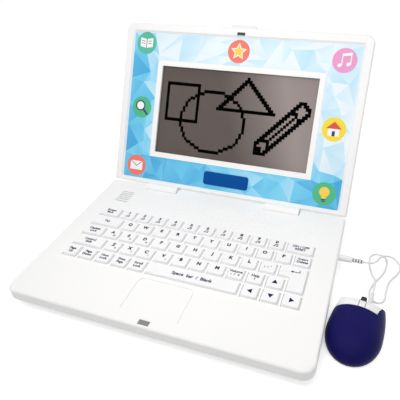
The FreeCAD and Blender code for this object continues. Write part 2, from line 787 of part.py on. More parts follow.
def mouse_core():
    """Room inside the shell: a loft of straight-sided sections within the form less its wall."""
    rear = mouse_rear_reach - mouse_wall
    front = mouse_front_reach - mouse_wall
    nose = mouse_nose_reach - mouse_wall
    stations = [-0.96 * rear, -0.8 * rear, -0.5 * rear, 0.0]
    stations += [mouse_nose_middle + share * nose for share in (0.0, 0.35, 0.65, 0.85, 0.95)]
    sections = []
    for y in stations:
        share = math.sqrt(1 - (y / (rear if y < 0 else front)) ** 2)
        half = (mouse_half_width - mouse_wall) * share
        top = mouse_waist_height + (mouse_crown - mouse_wall) * share
        if y > mouse_nose_middle:
            share = math.sqrt(1 - ((y - mouse_nose_middle) / nose) ** 2)
            half = min(half, (mouse_nose_half_width - mouse_wall) * share)
            top = min(top, mouse_nose_height + (mouse_nose_crown - mouse_wall) * share)
        points = []
        for i in range(core_sides + 1):
            angle = math.radians(210.0 * i / core_sides - 15.0)
            points.append(V(half * math.cos(angle), y,
                            mouse_nose_height + (top - mouse_nose_height) * math.sin(angle)))
        sections.append(polygon(points))
    return Part.makeLoft(sections, True, True)


mouse_solid = mouse_form()
mouse_shell = mouse_solid.cut(mouse_core())
mouse_shell = mouse_shell.common(mouse_block(-far, far, -far, far, mouse_deck_z, far))


def grip_block(grow):
    """Right side of the mouse below the slanting edge of its thumb grip."""
    rise = (grip_front_height - grip_rear_height) / (grip_front - button_rear)
    end_z = grip_rear_height + rise * (front_limit - button_rear)
    outline = [
        V(grip_inner_x - grow, button_rear - mouse_split_gap, mouse_deck_z),
        V(grip_inner_x - grow, front_limit, mouse_deck_z),
        V(grip_inner_x - grow, front_limit, end_z + grow),
        V(grip_inner_x - grow, button_rear - mouse_split_gap, grip_rear_height + grow),
    ]
    return Part.Face(polygon(outline)).extrude(V(side_limit - grip_inner_x + grow, 0, 0))


# Palm cover: the rear of the shell, reaching forward as a grip on the right
ahead_of_palm = mouse_block(-far, far, button_rear - mouse_split_gap, far, -far, far).cut(grip_block(0.0))
palm_boss = post(0.0, mouse_screw_y, mouse_board_top_z, top_limit, screw_boss_radius).common(mouse_solid)
palm = mouse_shell.cut(ahead_of_palm).fuse(palm_boss)
palm = palm.cut(post(0.0, mouse_screw_y, mouse_board_top_z, mouse_board_top_z + screw_bite,
                     screw_pilot_radius))
save("mouse_palm_cover", on_table(palm))

# Buttons: the front of the shell, parted along the middle by the wheel and its strip
front_shell = mouse_shell.common(mouse_block(-far, far, button_rear, far, -far, far))
front_shell = front_shell.cut(grip_block(grip_click_room))
slot_half = wheel_width / 2 + wheel_slot_gap
button_shell = front_shell.common(mouse_block(-far, far, -far, far, button_skirt, far))
axle_half = wheel_width / 2 + wheel_side_gap + wheel_post_thickness
axle_reach = wheel_cradle_reach + running_gap
button_shell = button_shell.cut([
    mouse_block(-slot_half, slot_half, -far, far, -far, far),
    mouse_block(-axle_half - wheel_slot_gap, axle_half + wheel_slot_gap, wheel_middle - axle_reach,
                wheel_middle + axle_reach, -far, wheel_height + wheel_axle_radius + wheel_axle_room),
])
save("mouse_left_button", on_table(button_shell.common(mouse_block(-far, 0.0, -far, far, -far, far))))
save("mouse_right_button", on_table(button_shell.common(mouse_block(0.0, far, -far, far, -far, far))))

# Scroll wheel, bored to turn on a fixed pin whose ends lie in the posts of the bottom case
wheel = rod_x(-wheel_width / 2, wheel_width / 2, wheel_middle, wheel_height, wheel_radius)
wheel = wheel.cut(rod_x(-wheel_width / 2, wheel_width / 2, wheel_middle, wheel_height,
                        wheel_axle_radius + wheel_axle_clearance))
save("mouse_wheel", on_table(wheel))
save("mouse_wheel_pin", on_table(rod_x(-axle_half, axle_half, wheel_middle, wheel_height, wheel_axle_radius)))

# Bottom case: floor, nose under the buttons, strip behind the wheel, posts for its pin, screw seat
mouse_plate = mouse_solid.common(mouse_block(-far, far, -far, far, -far, mouse_deck_z))
nose = front_shell.common(mouse_block(-far, far, -far, far, -far, button_skirt - mouse_click_room))
wheel_posts = []
for side in (-1, 1):
    x = side * (wheel_width / 2 + wheel_side_gap + wheel_post_thickness / 2)
    half = wheel_post_thickness / 2
    wheel_posts.append(box(x - half, x + half, wheel_middle - wheel_cradle_reach,
                           wheel_middle + wheel_cradle_reach, mouse_deck_z, wheel_height - wheel_cradle_drop))
strip_half = slot_half - mouse_split_gap
strip_end = wheel_middle - wheel_radius - running_gap
strip = front_shell.common(mouse_block(-strip_half, strip_half, -far, wheel_middle, wheel_height, far))
strip = strip.cut(rod_x(-far, far, wheel_middle, wheel_height, wheel_radius + wheel_slot_gap))
strip_wall = box(-strip_half, strip_half, strip_end - wheel_strip_wall, strip_end, mouse_deck_z, top_limit)
seat = post(0.0, mouse_screw_y, mouse_deck_z, mouse_board_z, screw_well_radius)
bottom = mouse_plate.fuse([nose, seat, strip, strip_wall.common(mouse_solid)] + wheel_posts)
relief_start = V(mouse_relief_x, mouse_nose - mouse_relief_root, cord_exit_height)
relief_seat = Part.makeCylinder(mouse_relief_root_radius, 2 * mouse_relief_root, relief_start, V(0, 1, 0))
bottom = bottom.cut([
    rod_x(-axle_half, axle_half, wheel_middle, wheel_height, wheel_axle_radius + wheel_axle_clearance),
    rod_x(-wheel_width / 2 - wheel_side_gap, wheel_width / 2 + wheel_side_gap, wheel_middle, wheel_height,
          wheel_radius + running_gap),
    post(0.0, mouse_screw_y, mouse_glide_height, mouse_glide_height + screw_head_height,
         screw_head_radius + running_gap),
    post(0.0, mouse_screw_y, mouse_glide_height, mouse_board_z, screw_hole_radius),
    post(0.0, 0.0, mouse_glide_height, mouse_deck_z, mouse_lens_radius + mouse_lens_clearance),
    relief_seat,
])
save("mouse_bottom_case", on_table(bottom))
mouse_screw_shelf = mouse_glide_height + screw_head_height
mouse_screw_reach = mouse_board_top_z - mouse_screw_shelf + screw_bite
save("mouse_screw", on_table(screw(0.0, mouse_screw_y, mouse_screw_shelf, mouse_screw_reach)))
save("mouse_lens", on_table(post(0.0, 0.0, mouse_glide_height, mouse_board_z, mouse_lens_radius)))

# Mouse board, glide pads and strain relief
board_front = strip_end - wheel_strip_wall - running_gap
mouse_board = box(-mouse_board_half_width, mouse_board_half_width, mouse_screw_y - screw_well_radius,
                  board_front, mouse_board_z, mouse_board_top_z)
mouse_board = mouse_board.cut(post(0.0, mouse_screw_y, mouse_board_z, mouse_board_top_z, screw_hole_radius))
save("mouse_board", on_table(mouse_board))
glides = []
for y in (mouse_screw_y - screw_well_radius, board_front):
    glides.append(box(-mouse_glide_width / 2, mouse_glide_width / 2, y - mouse_glide_length / 2,
                      y + mouse_glide_length / 2, 0.0, mouse_glide_height))
save("mouse_glide_pads", on_table(Part.makeCompound(glides)))
sleeve = Part.makeCylinder(mouse_relief_root_radius, mouse_relief_root, relief_start, V(0, 1, 0))
sleeve = sleeve.fuse(Part.makeCone(mouse_relief_root_radius, mouse_relief_tip_radius, mouse_relief_length,
                                   relief_start + V(0, mouse_relief_root, 0), V(0, 1, 0)))
save("mouse_strain_relief", on_table(sleeve))

# Plug: metal pin in the socket, moulded grip and ribbed strain relief outside the wall
wall_x = base_width / 2
pin_body = rod_x(wall_x - plug_pin_length + plug_pin_tip_length, wall_x, socket_y, socket_z, plug_pin_radius)
pin_tip = Part.makeCone(plug_pin_radius / 2, plug_pin_radius, plug_pin_tip_length,
                        V(wall_x - plug_pin_length, socket_y, socket_z), V(1, 0, 0))
save("plug_pin", pin_body.fuse(pin_tip))
grip_end_x = wall_x + plug_length
relief_end_x = grip_end_x + relief_length
profile = [(wall_x, 0.0), (wall_x, plug_radius), (grip_end_x, plug_radius), (grip_end_x, relief_neck_radius)]
rib_step = relief_length / relief_rib_count
for i in range(relief_rib_count):
    rib_x = grip_end_x + i * rib_step
    profile.append((rib_x + rib_step / 2, relief_neck_radius))
    profile.append((rib_x + rib_step / 2, relief_rib_radius))
    profile.append((rib_x + rib_step, relief_rib_radius))
    profile.append((rib_x + rib_step, relief_neck_radius))
profile = profile[:-1] + [(relief_end_x, 0.0)]
grip_face = Part.Face(polygon([V(x, socket_y + r, socket_z) for x, r in profile]))
save("mouse_plug", grip_face.revolve(V(0, socket_y, socket_z), V(1, 0, 0), 360))

# Mouse cord: out of the plug, down to the table, in loose loops, up into the mouse
cord_rest = cord_diameter / 2
turn = math.radians(mouse_turn)
mouse_ahead = V(math.sin(turn), math.cos(turn), 0)
mouse_right = V(math.cos(turn), -math.sin(turn), 0)
cord_end = V(mouse_x, mouse_y, cord_exit_height) + mouse_right * mouse_relief_x
cord_end = cord_end + mouse_ahead * (mouse_nose + mouse_relief_length)
cord_route = [
    V(relief_end_x, socket_y, socket_z),
    V(relief_end_x + cord_straight_end, socket_y, socket_z),
    V(wall_x + 36.2, 47.2, 14.6),
    V(wall_x + 38.0, 56.5, 11.0),
    V(wall_x + 45.0, 66.0, 7.0),
    V(wall_x + 54.0, 67.0, 3.4),
    V(wall_x + 59.5, 57.5, cord_rest),
    V(wall_x + 55.0, 46.5, cord_rest),
    V(wall_x + 48.5, 36.0, cord_rest),
    V(wall_x + 46.5, 21.5, cord_rest),
    V(wall_x + 46.0, 10.4, cord_rest),
    V(wall_x + 41.9, 6.3, cord_rest),
    V(wall_x + 36.1, 6.3, cord_rest),
    V(wall_x + 32.0, 10.4, cord_rest),
    V(wall_x + 31.9, 20.0, cord_rest),
    V(wall_x + 36.0, 31.0, cord_rest),
    V(wall_x + 42.5, 43.0, cord_rest),
    V(wall_x + 46.0, 55.5, cord_rest),
    V(wall_x + 45.5, 67.3, cord_rest),
    V(wall_x + 40.8, 72.0, cord_rest),
    V(wall_x + 34.2, 72.0, cord_rest),
    V(wall_x + 29.5, 67.3, cord_rest),
    V(wall_x + 29.0, 59.0, cord_rest),
    V(wall_x + 30.3, 49.5, cord_rest),
    V(wall_x + 32.8, 39.0, 2.8),
    V(wall_x + 36.0, 30.5, 5.4),
    cord_end + mouse_ahead * cord_straight_end,
    cord_end,
]


def rounded_path(points):
    """Straight runs joined by tangent arcs as large as the runs allow; also prints the radii."""
    edges = []
    radii = []
    start = points[0]
    for before, corner, after in zip(points, points[1:], points[2:]):
        toward = (before - corner).normalize()
        away = (after - corner).normalize()
        half_turn = (math.pi - toward.getAngle(away)) / 2
        reach = 0.45 * min((before - corner).Length, (after - corner).Length)
        radius = reach / math.tan(half_turn)
        radii.append(radius)
        first = corner + toward * reach
        last = corner + away * reach
        bisector = (toward + away).normalize()
        middle = corner + bisector * (radius / math.cos(half_turn) - radius)
        edges.append(Part.LineSegment(start, first).toShape())
        edges.append(Part.Arc(first, middle, last).toShape())
        start = last
    edges.append(Part.LineSegment(start, points[-1]).toShape())
    print("cord radii:", [round(radius, 1) for radius in radii])
    return Part.Wire(edges)


cord_path = rounded_path(cord_route)
cord_section = Part.Wire(Part.makeCircle(cord_diameter / 2, cord_route[0], cord_route[1] - cord_route[0]))
cord = cord_path.makePipeShell([cord_section], True, False)
cord_area = math.pi * cord_diameter**2 / 4
print(f"cord length {cord_path.Length:.1f}, volume {cord.Volume:.1f}, "
      f"section times length {cord_area * cord_path.Length:.1f}")
cord_points = []
for edge in cord_path.OrderedEdges:
    count = max(2, round(edge.Length))
    cord_points += edge.discretize(count)
cord_gap = cord_path.Length
neighbours = round(6 * cord_diameter)
for i, here in enumerate(cord_points):
    for there in cord_points[i + neighbours:]:
        cord_gap = min(cord_gap, (there - here).Length - cord_diameter)
print(f"cord's least gap to itself {cord_gap:.2f}")
save("mouse_cord", cord)
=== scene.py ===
import json
import math
import random

import bpy
from mathutils import Matrix, Vector
from mathutils.geometry import delaunay_2d_cdt


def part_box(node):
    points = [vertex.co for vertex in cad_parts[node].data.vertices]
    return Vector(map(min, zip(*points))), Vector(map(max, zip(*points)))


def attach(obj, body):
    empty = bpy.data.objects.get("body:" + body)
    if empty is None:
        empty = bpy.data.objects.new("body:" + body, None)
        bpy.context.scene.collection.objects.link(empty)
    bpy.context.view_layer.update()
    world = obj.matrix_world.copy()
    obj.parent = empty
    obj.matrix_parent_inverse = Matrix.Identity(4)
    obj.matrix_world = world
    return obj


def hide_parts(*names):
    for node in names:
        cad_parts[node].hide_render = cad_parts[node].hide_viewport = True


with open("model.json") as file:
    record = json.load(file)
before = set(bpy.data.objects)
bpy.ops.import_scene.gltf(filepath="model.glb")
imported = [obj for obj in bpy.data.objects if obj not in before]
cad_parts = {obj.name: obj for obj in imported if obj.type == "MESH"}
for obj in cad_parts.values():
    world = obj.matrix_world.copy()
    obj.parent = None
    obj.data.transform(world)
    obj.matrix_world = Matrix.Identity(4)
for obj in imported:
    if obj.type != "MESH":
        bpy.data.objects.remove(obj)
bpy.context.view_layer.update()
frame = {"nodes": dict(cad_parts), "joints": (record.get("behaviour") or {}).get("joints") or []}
nodes = frame["nodes"]


# Table, light and camera
# The table is one plain white sheet that runs on past the picture. A broad soft lamp overhead, a
# weaker one before the lid and an even white room light the toy, seen from its front right corner.
mm = 0.001


def add_node(tree, kind, **settings):
    """A node of that kind, with its own settings and its unlinked inputs set by name."""
    node = tree.nodes.new(kind)
    for key, value in settings.items():
        if hasattr(node, key):
            setattr(node, key, value)
        else:
            node.inputs[key.replace("_", " ")].default_value = value
    return node


def new_material(name, **settings):
    """A node material with only a Principled shader, whose unlinked inputs are set by name."""
    material = bpy.data.materials.new(name)
    material.use_nodes = True
    tree = material.node_tree
    tree.nodes.clear()
    shader = add_node(tree, "ShaderNodeBsdfPrincipled", **settings)
    output = add_node(tree, "ShaderNodeOutputMaterial")
    tree.links.new(shader.outputs["BSDF"], output.inputs["Surface"])
    return material, tree, shader


def linear(red, green, blue):
    """A colour given in screen values from 0 to 255, as Blender's linear values."""
    parts = [c / 255 for c in (red, green, blue)]
    return [c / 12.92 if c <= 0.04045 else ((c + 0.055) / 1.055) ** 2.4 for c in parts] + [1.0]


def mesh_object(name, points, faces, place=None):
    """A mesh object made from its corners and faces, which stand in the given place."""
    mesh = bpy.data.meshes.new(name)
    mesh.from_pydata([tuple(p) for p in points], [], faces)
    mesh.update()
    obj = bpy.data.objects.new(name, mesh)
    if place is not None:
        obj.matrix_world = place
    bpy.context.scene.collection.objects.link(obj)
    return obj


def camera_sees(tree):
    """A mask of the rays that show a surface to the camera: straight, mirrored or through glass."""
    ray = add_node(tree, "ShaderNodeLightPath")
    seen = ray.outputs["Is Camera Ray"]
    for kind in ("Is Glossy Ray", "Is Transmission Ray"):
        either = add_node(tree, "ShaderNodeMath", operation="MAXIMUM")
        tree.links.new(seen, either.inputs[0])
        tree.links.new(ray.outputs[kind], either.inputs[1])
        seen = either.outputs["Value"]
    return seen


def oblong(left, foot, right, top):
    """The four corners of an oblong, from its lower left corner round."""
    return [(left, foot), (right, foot), (right, top), (left, top)]


table_half, table_top, table_glow = 4.0, -0.05 * mm, 0.42
table_corners = oblong(-table_half, -table_half, table_half, table_half)
floor = mesh_object("table", [(x, y, table_top) for x, y in table_corners], [(0, 1, 2, 3)])
table_paper, tree, shader = new_material("table_paper", Specular_IOR_Level=0.0, Roughness=0.9)
fibre = add_node(tree, "ShaderNodeTexNoise", Scale=900.0, Detail=3.0)
where = add_node(tree, "ShaderNodeTexCoord")
seen = camera_sees(tree)
paper = add_node(tree, "ShaderNodeValToRGB")
paper.color_ramp.elements[0].color = linear(253, 253, 253)
paper.color_ramp.elements[1].color = linear(255, 255, 255)
lit = add_node(tree, "ShaderNodeMix", data_type="RGBA", A=linear(234, 234, 234))
tree.links.new(where.outputs["Object"], fibre.inputs["Vector"])
tree.links.new(fibre.outputs["Fac"], paper.inputs["Fac"])
tree.links.new(seen, lit.inputs["Factor"])
tree.links.new(paper.outputs["Color"], lit.inputs["B"])
tree.links.new(lit.outputs["Result"], shader.inputs["Base Color"])
glow = add_node(tree, "ShaderNodeMath", operation="MULTIPLY")
glow.inputs[1].default_value = table_glow
tree.links.new(seen, glow.inputs[0])
tree.links.new(paper.outputs["Color"], shader.inputs["Emission Color"])
tree.links.new(glow.outputs["Value"], shader.inputs["Emission Strength"])
floor.data.materials.append(table_paper)

world = bpy.data.worlds.new("studio")
bpy.context.scene.world = world
world.use_nodes = True
tree = world.node_tree
tree.nodes.clear()
room_light, shown_white = 0.37, 1.0
level = add_node(tree, "ShaderNodeMapRange", To_Min=room_light, To_Max=shown_white)
room = add_node(tree, "ShaderNodeBackground", Color=linear(255, 255, 255))
output = add_node(tree, "ShaderNodeOutputWorld")
tree.links.new(camera_sees(tree), level.inputs["Value"])
tree.links.new(level.outputs["Result"], room.inputs["Strength"])
tree.links.new(room.outputs["Background"], output.inputs["Surface"])

top_lamp = bpy.data.lights.new("top_lamp", "SUN")
top_lamp.energy = 0.74
top_lamp.angle = math.radians(60.0)
front_lamp = bpy.data.lights.new("front_lamp", "AREA")
front_lamp.energy = 0.95
front_lamp.shape = "RECTANGLE"
front_lamp.size = 0.5
front_lamp.size_y = 0.35
top_place, top_direction = Vector((0, 0, 1)), Vector((0.25, -0.1, -1.0))
front_place, front_target = Vector((0.02, -0.11, 0.36)), Vector((0.02, 0.15, 0.2))
for lamp, place, direction in [(top_lamp, top_place, top_direction),
                               (front_lamp, front_place, front_target - front_place)]:
    holder = bpy.data.objects.new(lamp.name, lamp)
    holder.location = place
    holder.rotation_euler = direction.to_track_quat("-Z", "Y").to_euler()
    holder.visible_glossy = False
    bpy.context.scene.collection.objects.link(holder)

yaw, pitch, roll = 0.359, 0.605, -0.041
forward = Vector((-math.sin(yaw) * math.cos(pitch), math.cos(yaw) * math.cos(pitch), -math.sin(pitch)))
level_right = Vector((math.cos(yaw), math.sin(yaw), 0.0))
level_up = level_right.cross(forward)
right = math.cos(roll) * level_right + math.sin(roll) * level_up
up = math.cos(roll) * level_up - math.sin(roll) * level_right
eye = Vector((148.868, -285.448, 306.683)) * mm
lens = bpy.data.cameras.new("camera")
lens.sensor_width = 36.0
lens.lens = 39.08
lens.shift_x = -0.065
lens.shift_y = -0.0125
lens.clip_start = 0.01
camera = bpy.data.objects.new("camera", lens)
camera.matrix_world = Matrix((right, up, -forward)).transposed().to_4x4()
camera.location = eye
bpy.context.scene.collection.objects.link(camera)
bpy.context.scene.camera = camera
bpy.context.scene.view_settings.view_transform = "Standard"


# White case of the base
# The upper deck and the lower pan are moulded in one satin white ABS and screwed together from
# below; the battery door is the same plastic. The mould left a fine even grain and a faint flow.
skin = bpy.data.node_groups.new("moulded_skin", "ShaderNodeTree")
for name, kind, way in [("Colour", "NodeSocketColor", "INPUT"), ("Flow", "NodeSocketColor", "INPUT"),
                        ("Smoothest", "NodeSocketFloat", "INPUT"), ("Roughest", "NodeSocketFloat", "INPUT"),
                        ("Colour", "NodeSocketColor", "OUTPUT"), ("Roughness", "NodeSocketFloat", "OUTPUT"),
                        ("Height", "NodeSocketFloat", "OUTPUT")]:
    skin.interface.new_socket(name=name, in_out=way, socket_type=kind)
enter = add_node(skin, "NodeGroupInput")
leave = add_node(skin, "NodeGroupOutput")
where = add_node(skin, "ShaderNodeTexCoord")
drift = add_node(skin, "ShaderNodeTexNoise", Scale=18.0, Detail=4.0, Roughness=0.6)
grain = add_node(skin, "ShaderNodeTexNoise", Scale=1500.0, Detail=2.0)
handled = add_node(skin, "ShaderNodeTexNoise", Scale=60.0, Detail=5.0, Roughness=0.65)
blend = add_node(skin, "ShaderNodeMix", data_type="RGBA")
polish = add_node(skin, "ShaderNodeMapRange")
for noise in (drift, grain, handled):
    skin.links.new(where.outputs["Object"], noise.inputs["Vector"])
skin.links.new(drift.outputs["Fac"], blend.inputs["Factor"])
skin.links.new(enter.outputs["Colour"], blend.inputs["A"])
skin.links.new(enter.outputs["Flow"], blend.inputs["B"])
skin.links.new(handled.outputs["Fac"], polish.inputs["Value"])
skin.links.new(enter.outputs["Smoothest"], polish.inputs["To Min"])
skin.links.new(enter.outputs["Roughest"], polish.inputs["To Max"])
skin.links.new(blend.outputs["Result"], leave.inputs["Colour"])
skin.links.new(polish.outputs["Result"], leave.inputs["Roughness"])
skin.links.new(grain.outputs["Fac"], leave.inputs["Height"])


def moulded(name, colour, flow, smoothest, roughest, grain_depth=0.02, shine=0.5):
    """A moulded material: its colour drifts to the flow colour, over a finely grained skin."""
    material, tree, shader = new_material(name, Specular_IOR_Level=shine)
    surface = add_node(tree, "ShaderNodeGroup", node_tree=skin, Colour=linear(*colour), Flow=linear(*flow),
                       Smoothest=smoothest, Roughest=roughest)
    bump = add_node(tree, "ShaderNodeBump", Strength=0.25, Distance=grain_depth * mm)
    tree.links.new(surface.outputs["Height"], bump.inputs["Height"])
    tree.links.new(surface.outputs["Colour"], shader.inputs["Base Color"])
    tree.links.new(surface.outputs["Roughness"], shader.inputs["Roughness"])
    tree.links.new(bump.outputs["Normal"], shader.inputs["Normal"])
    return material


def dress(obj, material):
    """Puts the one material on a piece or on a node of the frame."""
    obj.data.materials.clear()
    obj.data.materials.append(material)


white_case = moulded("white_case", (251, 250, 249), (248, 247, 246), 0.26, 0.38, shine=0.22)
dress(nodes["battery_door"], white_case)
(_, case_front, split_height), (case_right, _, deck_face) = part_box("base_top_case")
foot_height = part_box("base_bottom_case")[0][2]
deck_corner, tight_deck = 18.0 * mm, 11.0 * mm
pan_corner, tight_pan, pan_taper = 8.0 * mm, 7.5 * mm, 16.0 * mm
groove_depth, rib_depth, pad_groove_depth = 0.5 * mm, 0.2 * mm, 0.9 * mm
snug = 0.02
band_front, band_rear = 47.0 * mm, 80.0 * mm
pad_half, pad_front, pad_rear, pad_shift = 27.6 * mm, -88.1 * mm, -49.8 * mm, 3.6 * mm


def drawn_out(across, ahead, arc, tight):
    """How many times further out a point of a corner's arc lies where the corner turns tighter."""
    long, short = max(across, ahead), min(across, ahead)
    flat = arc - tight
    if short * arc <= flat * long:
        return math.hypot(long, short) / long
    off = math.atan2(short, long) - math.pi / 4
    middle = flat * math.sqrt(2)
    return (middle * math.cos(off) + math.sqrt(tight ** 2 - (middle * math.sin(off)) ** 2)) / arc


def crisp_base(point):
    """A point of the base: tighter front corners, shallow ribs, and a deep pad outline nearer the keys."""
    height = point.z
    on_pad = abs(point.x) < pad_half and pad_front < point.y < pad_rear
    if on_pad and height > deck_face - 2 * groove_depth:
        point = point + Vector((0.0, pad_shift, 0.0))
    if abs(deck_face - groove_depth - height) < snug * mm:
        height = deck_face - (rib_depth if band_front < point.y < band_rear else pad_groove_depth)
    share = min(1.0, max(0.0, (split_height - point.z) / (split_height - foot_height)))
    arc = deck_corner + (pan_corner - deck_corner) * share
    tight = tight_deck + (tight_pan - tight_deck) * share
    side = 1.0 if point.x > 0 else -1.0
    middle_x = side * (case_right - pan_taper * share - arc)
    middle_y = case_front + pan_taper * share + arc
    across, ahead = side * (point.x - middle_x), middle_y - point.y
    if across <= 0 or ahead <= 0:
        return Vector((point.x, point.y, height))
    grow = drawn_out(across, ahead, arc, tight)
    return Vector((middle_x + side * across * grow, middle_y - ahead * grow, height))


def soften(obj, angle=35.0):
    """Smooth shading, with the edges sharper than the angle kept sharp."""
    obj.data.polygons.foreach_set("use_smooth", [True] * len(obj.data.polygons))
    obj.data.set_sharp_from_angle(angle=math.radians(angle))


for name in ("base_top_case", "base_bottom_case"):
    solid = nodes[name].data
    shell = mesh_object("shell_" + name, [crisp_base(v.co) for v in solid.vertices],
                        [tuple(face.vertices) for face in solid.polygons])
    soften(shell)
    dress(shell, white_case)
    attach(shell, "base")
    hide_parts(name)


# Keys
# Each key is a white ABS cap on a flange that holds it under the deck, with a skirt that fills its
# opening, drafted sides, a rounded rim and a very shallow dish. It stands on the rubber mat.
white_key = moulded("white_key", (250, 249, 249), (246, 245, 246), 0.28, 0.42)
flange_inset, flange_corner, flange_sunk = 0.45, 0.6, 2.3
skirt_inset, skirt_sunk = 1.25, 0.7
cap_inset, cap_draft, cap_corner = 1.7, 0.35, 1.9
rim_radius, rim_steps = 0.55, 5
dish_depth, dish_inset, dish_corner = 0.10, 1.8, 0.8
deck_height = deck_face / mm
key_runs = {"number_keys": 10, "upper_letter_keys": 10, "middle_letter_keys": 9, "lower_letter_keys": 7}
key_names = sorted(name for name in nodes if name.endswith(("_key", "_keys"))
                   or name.startswith("mode_key") or name == "space_bar")


def key_cells(name):
    """The cells that a key node fills, as corner lists in mm, from the node's own box."""
    low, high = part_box(name)
    left, front = low[0] / mm - flange_inset, low[1] / mm - flange_inset
    right, rear = high[0] / mm + flange_inset, high[1] / mm + flange_inset
    if name == "enter_key":
        step_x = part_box("delete_key")[0][0] / mm - flange_inset
        step_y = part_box("punctuation_key")[0][1] / mm - flange_inset
        return [[(left, step_y), (step_x, step_y), (step_x, front),
                 (right, front), (right, rear), (left, rear)]]
    count = key_runs.get(name, 1)
    width = (right - left) / count
    return [oblong(left + i * width, front, left + (i + 1) * width, rear) for i in range(count)]


def ring(corners, inset, radius, steps=5):
    """A right-angled outline moved in by inset, with its corners rounded."""
    count = len(corners)
    drawn_in = []
    for i in range(count):
        here, last, following = (Vector(corners[k % count]) for k in (i, i - 1, i + 1))
        into, out = (here - last).normalized(), (following - here).normalized()
        drawn_in.append(here + inset * (Vector((-into.y, into.x)) + Vector((-out.y, out.x))))
    points = []
    for i in range(count):
        here, last, following = (drawn_in[k % count] for k in (i, i - 1, i + 1))
        back, ahead = (last - here).normalized(), (following - here).normalized()
        middle = here + radius * (back + ahead)
        for k in range(steps + 1):
            turn = math.pi / 2 * k / steps
            points.append(middle - radius * (math.cos(turn) * ahead + math.sin(turn) * back))
    return points


def stack(levels, points, faces):
    """Joins rings of equal count, given as (outline, height), into one closed form."""
    first = len(points)
    count = len(levels[0][0])
    for outline, height in levels:
        points.extend(Vector((p[0], p[1], height)) * mm for p in outline)
    for j in range(len(levels) - 1):
        low = first + j * count
        for i in range(count):
            k = (i + 1) % count
            faces.append((low + i, low + k, low + count + k, low + count + i))
    faces.append(tuple(reversed(range(first, first + count))))
    faces.append(tuple(range(first + (len(levels) - 1) * count, first + len(levels) * count)))


def key_levels(corners, bottom, flange_top, top):
    """The rings of one key from its flange and skirt up over its rounded rim to its dish."""
    skirt_top = deck_height - skirt_sunk
    shoulder = top - rim_radius
    side = cap_inset + cap_draft
    levels = [(ring(corners, flange_inset, flange_corner), bottom),
              (ring(corners, flange_inset, flange_corner), flange_top),
              (ring(corners, skirt_inset, cap_corner), flange_top),
              (ring(corners, skirt_inset, cap_corner), skirt_top),
              (ring(corners, cap_inset, cap_corner), skirt_top),
              (ring(corners, side, cap_corner), shoulder)]
    for k in range(1, rim_steps + 1):
        turn = math.pi / 2 * k / rim_steps
        inset = side + rim_radius * (1 - math.cos(turn))
        levels.append((ring(corners, inset, cap_corner), shoulder + rim_radius * math.sin(turn)))
    for share in (0.35, 1.0):
        inset, radius = side + rim_radius + dish_inset * share, cap_corner + dish_corner * share
        levels.append((ring(corners, inset, radius), top - dish_depth * share ** 2))
    return levels


key_places = {name: key_cells(name) for name in key_names}
for name, cells in key_places.items():
    low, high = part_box(name)
    points, faces = [], []
    for corners in cells:
        stack(key_levels(corners, low[2] / mm, deck_height - flange_sunk, high[2] / mm), points, faces)
    cap = mesh_object("cap_" + name, points, faces)
    soften(cap)
    dress(cap, white_key)
    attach(cap, name)
    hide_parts(name)


# Marks on the keys
# The letters, figures, words and signs are pad-printed on the caps in one dark blue ink: a film
# that stands a hair above the plastic and goes down with its own key.
ink_blue = moulded("ink_blue", (22, 24, 64), (28, 30, 72), 0.5, 0.7, shine=0.1)
ink_film, ink_gap = 0.02, 0.005
ink_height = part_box("space_bar")[1][2] / mm - dish_depth + ink_gap
word_film = dish_depth + ink_film


def lettering(text, size, weight, x, y, height, points, faces, film=ink_film):
    """Adds a line of lettering, its strokes widened by the weight, to a mesh's corners and faces."""
    curve = bpy.data.curves.new("line", "FONT")
    curve.body = text
    curve.size = size * mm
    curve.align_x = "CENTER"
    curve.align_y = "CENTER"
    curve.extrude = film / 2 * mm
    curve.offset = weight * size * mm
    curve.resolution_u = 4
    holder = bpy.data.objects.new("line", curve)
    mesh = bpy.data.meshes.new_from_object(holder)
    first = len(points)
    shift = Vector((x, y, height + film / 2)) * mm
    points.extend(v.co + shift for v in mesh.vertices)
    faces.extend(tuple(first + i for i in p.vertices) for p in mesh.polygons)
    bpy.data.objects.remove(holder)
    bpy.data.curves.remove(curve)
    bpy.data.meshes.remove(mesh)


def plate(outline, height, points, faces, film=ink_film):
    """Adds a thin flat plate of any outline, given in mm, to a mesh's corners and faces."""
    stack([(outline, height), (outline, height + film)], points, faces)


def placed(outline, x, y, turn=0.0):
    """An outline drawn about zero, turned and moved to x and y."""
    c, s = math.cos(turn), math.sin(turn)
    return [(x + c * a - s * b, y + s * a + c * b) for a, b in outline]


def disc(x, y, across, tall=None, turn=0.0, count=28):
    """A round or oval outline about x and y."""
    tall = across if tall is None else tall
    angles = [2 * math.pi * i / count for i in range(count)]
    return placed([(across / 2 * math.cos(a), tall / 2 * math.sin(a)) for a in angles], x, y, turn)


def bar(x, y, long, wide, turn=0.0):
    """A straight bar outline about x and y."""
    return placed(oblong(-long / 2, -wide / 2, long / 2, wide / 2), x, y, turn)


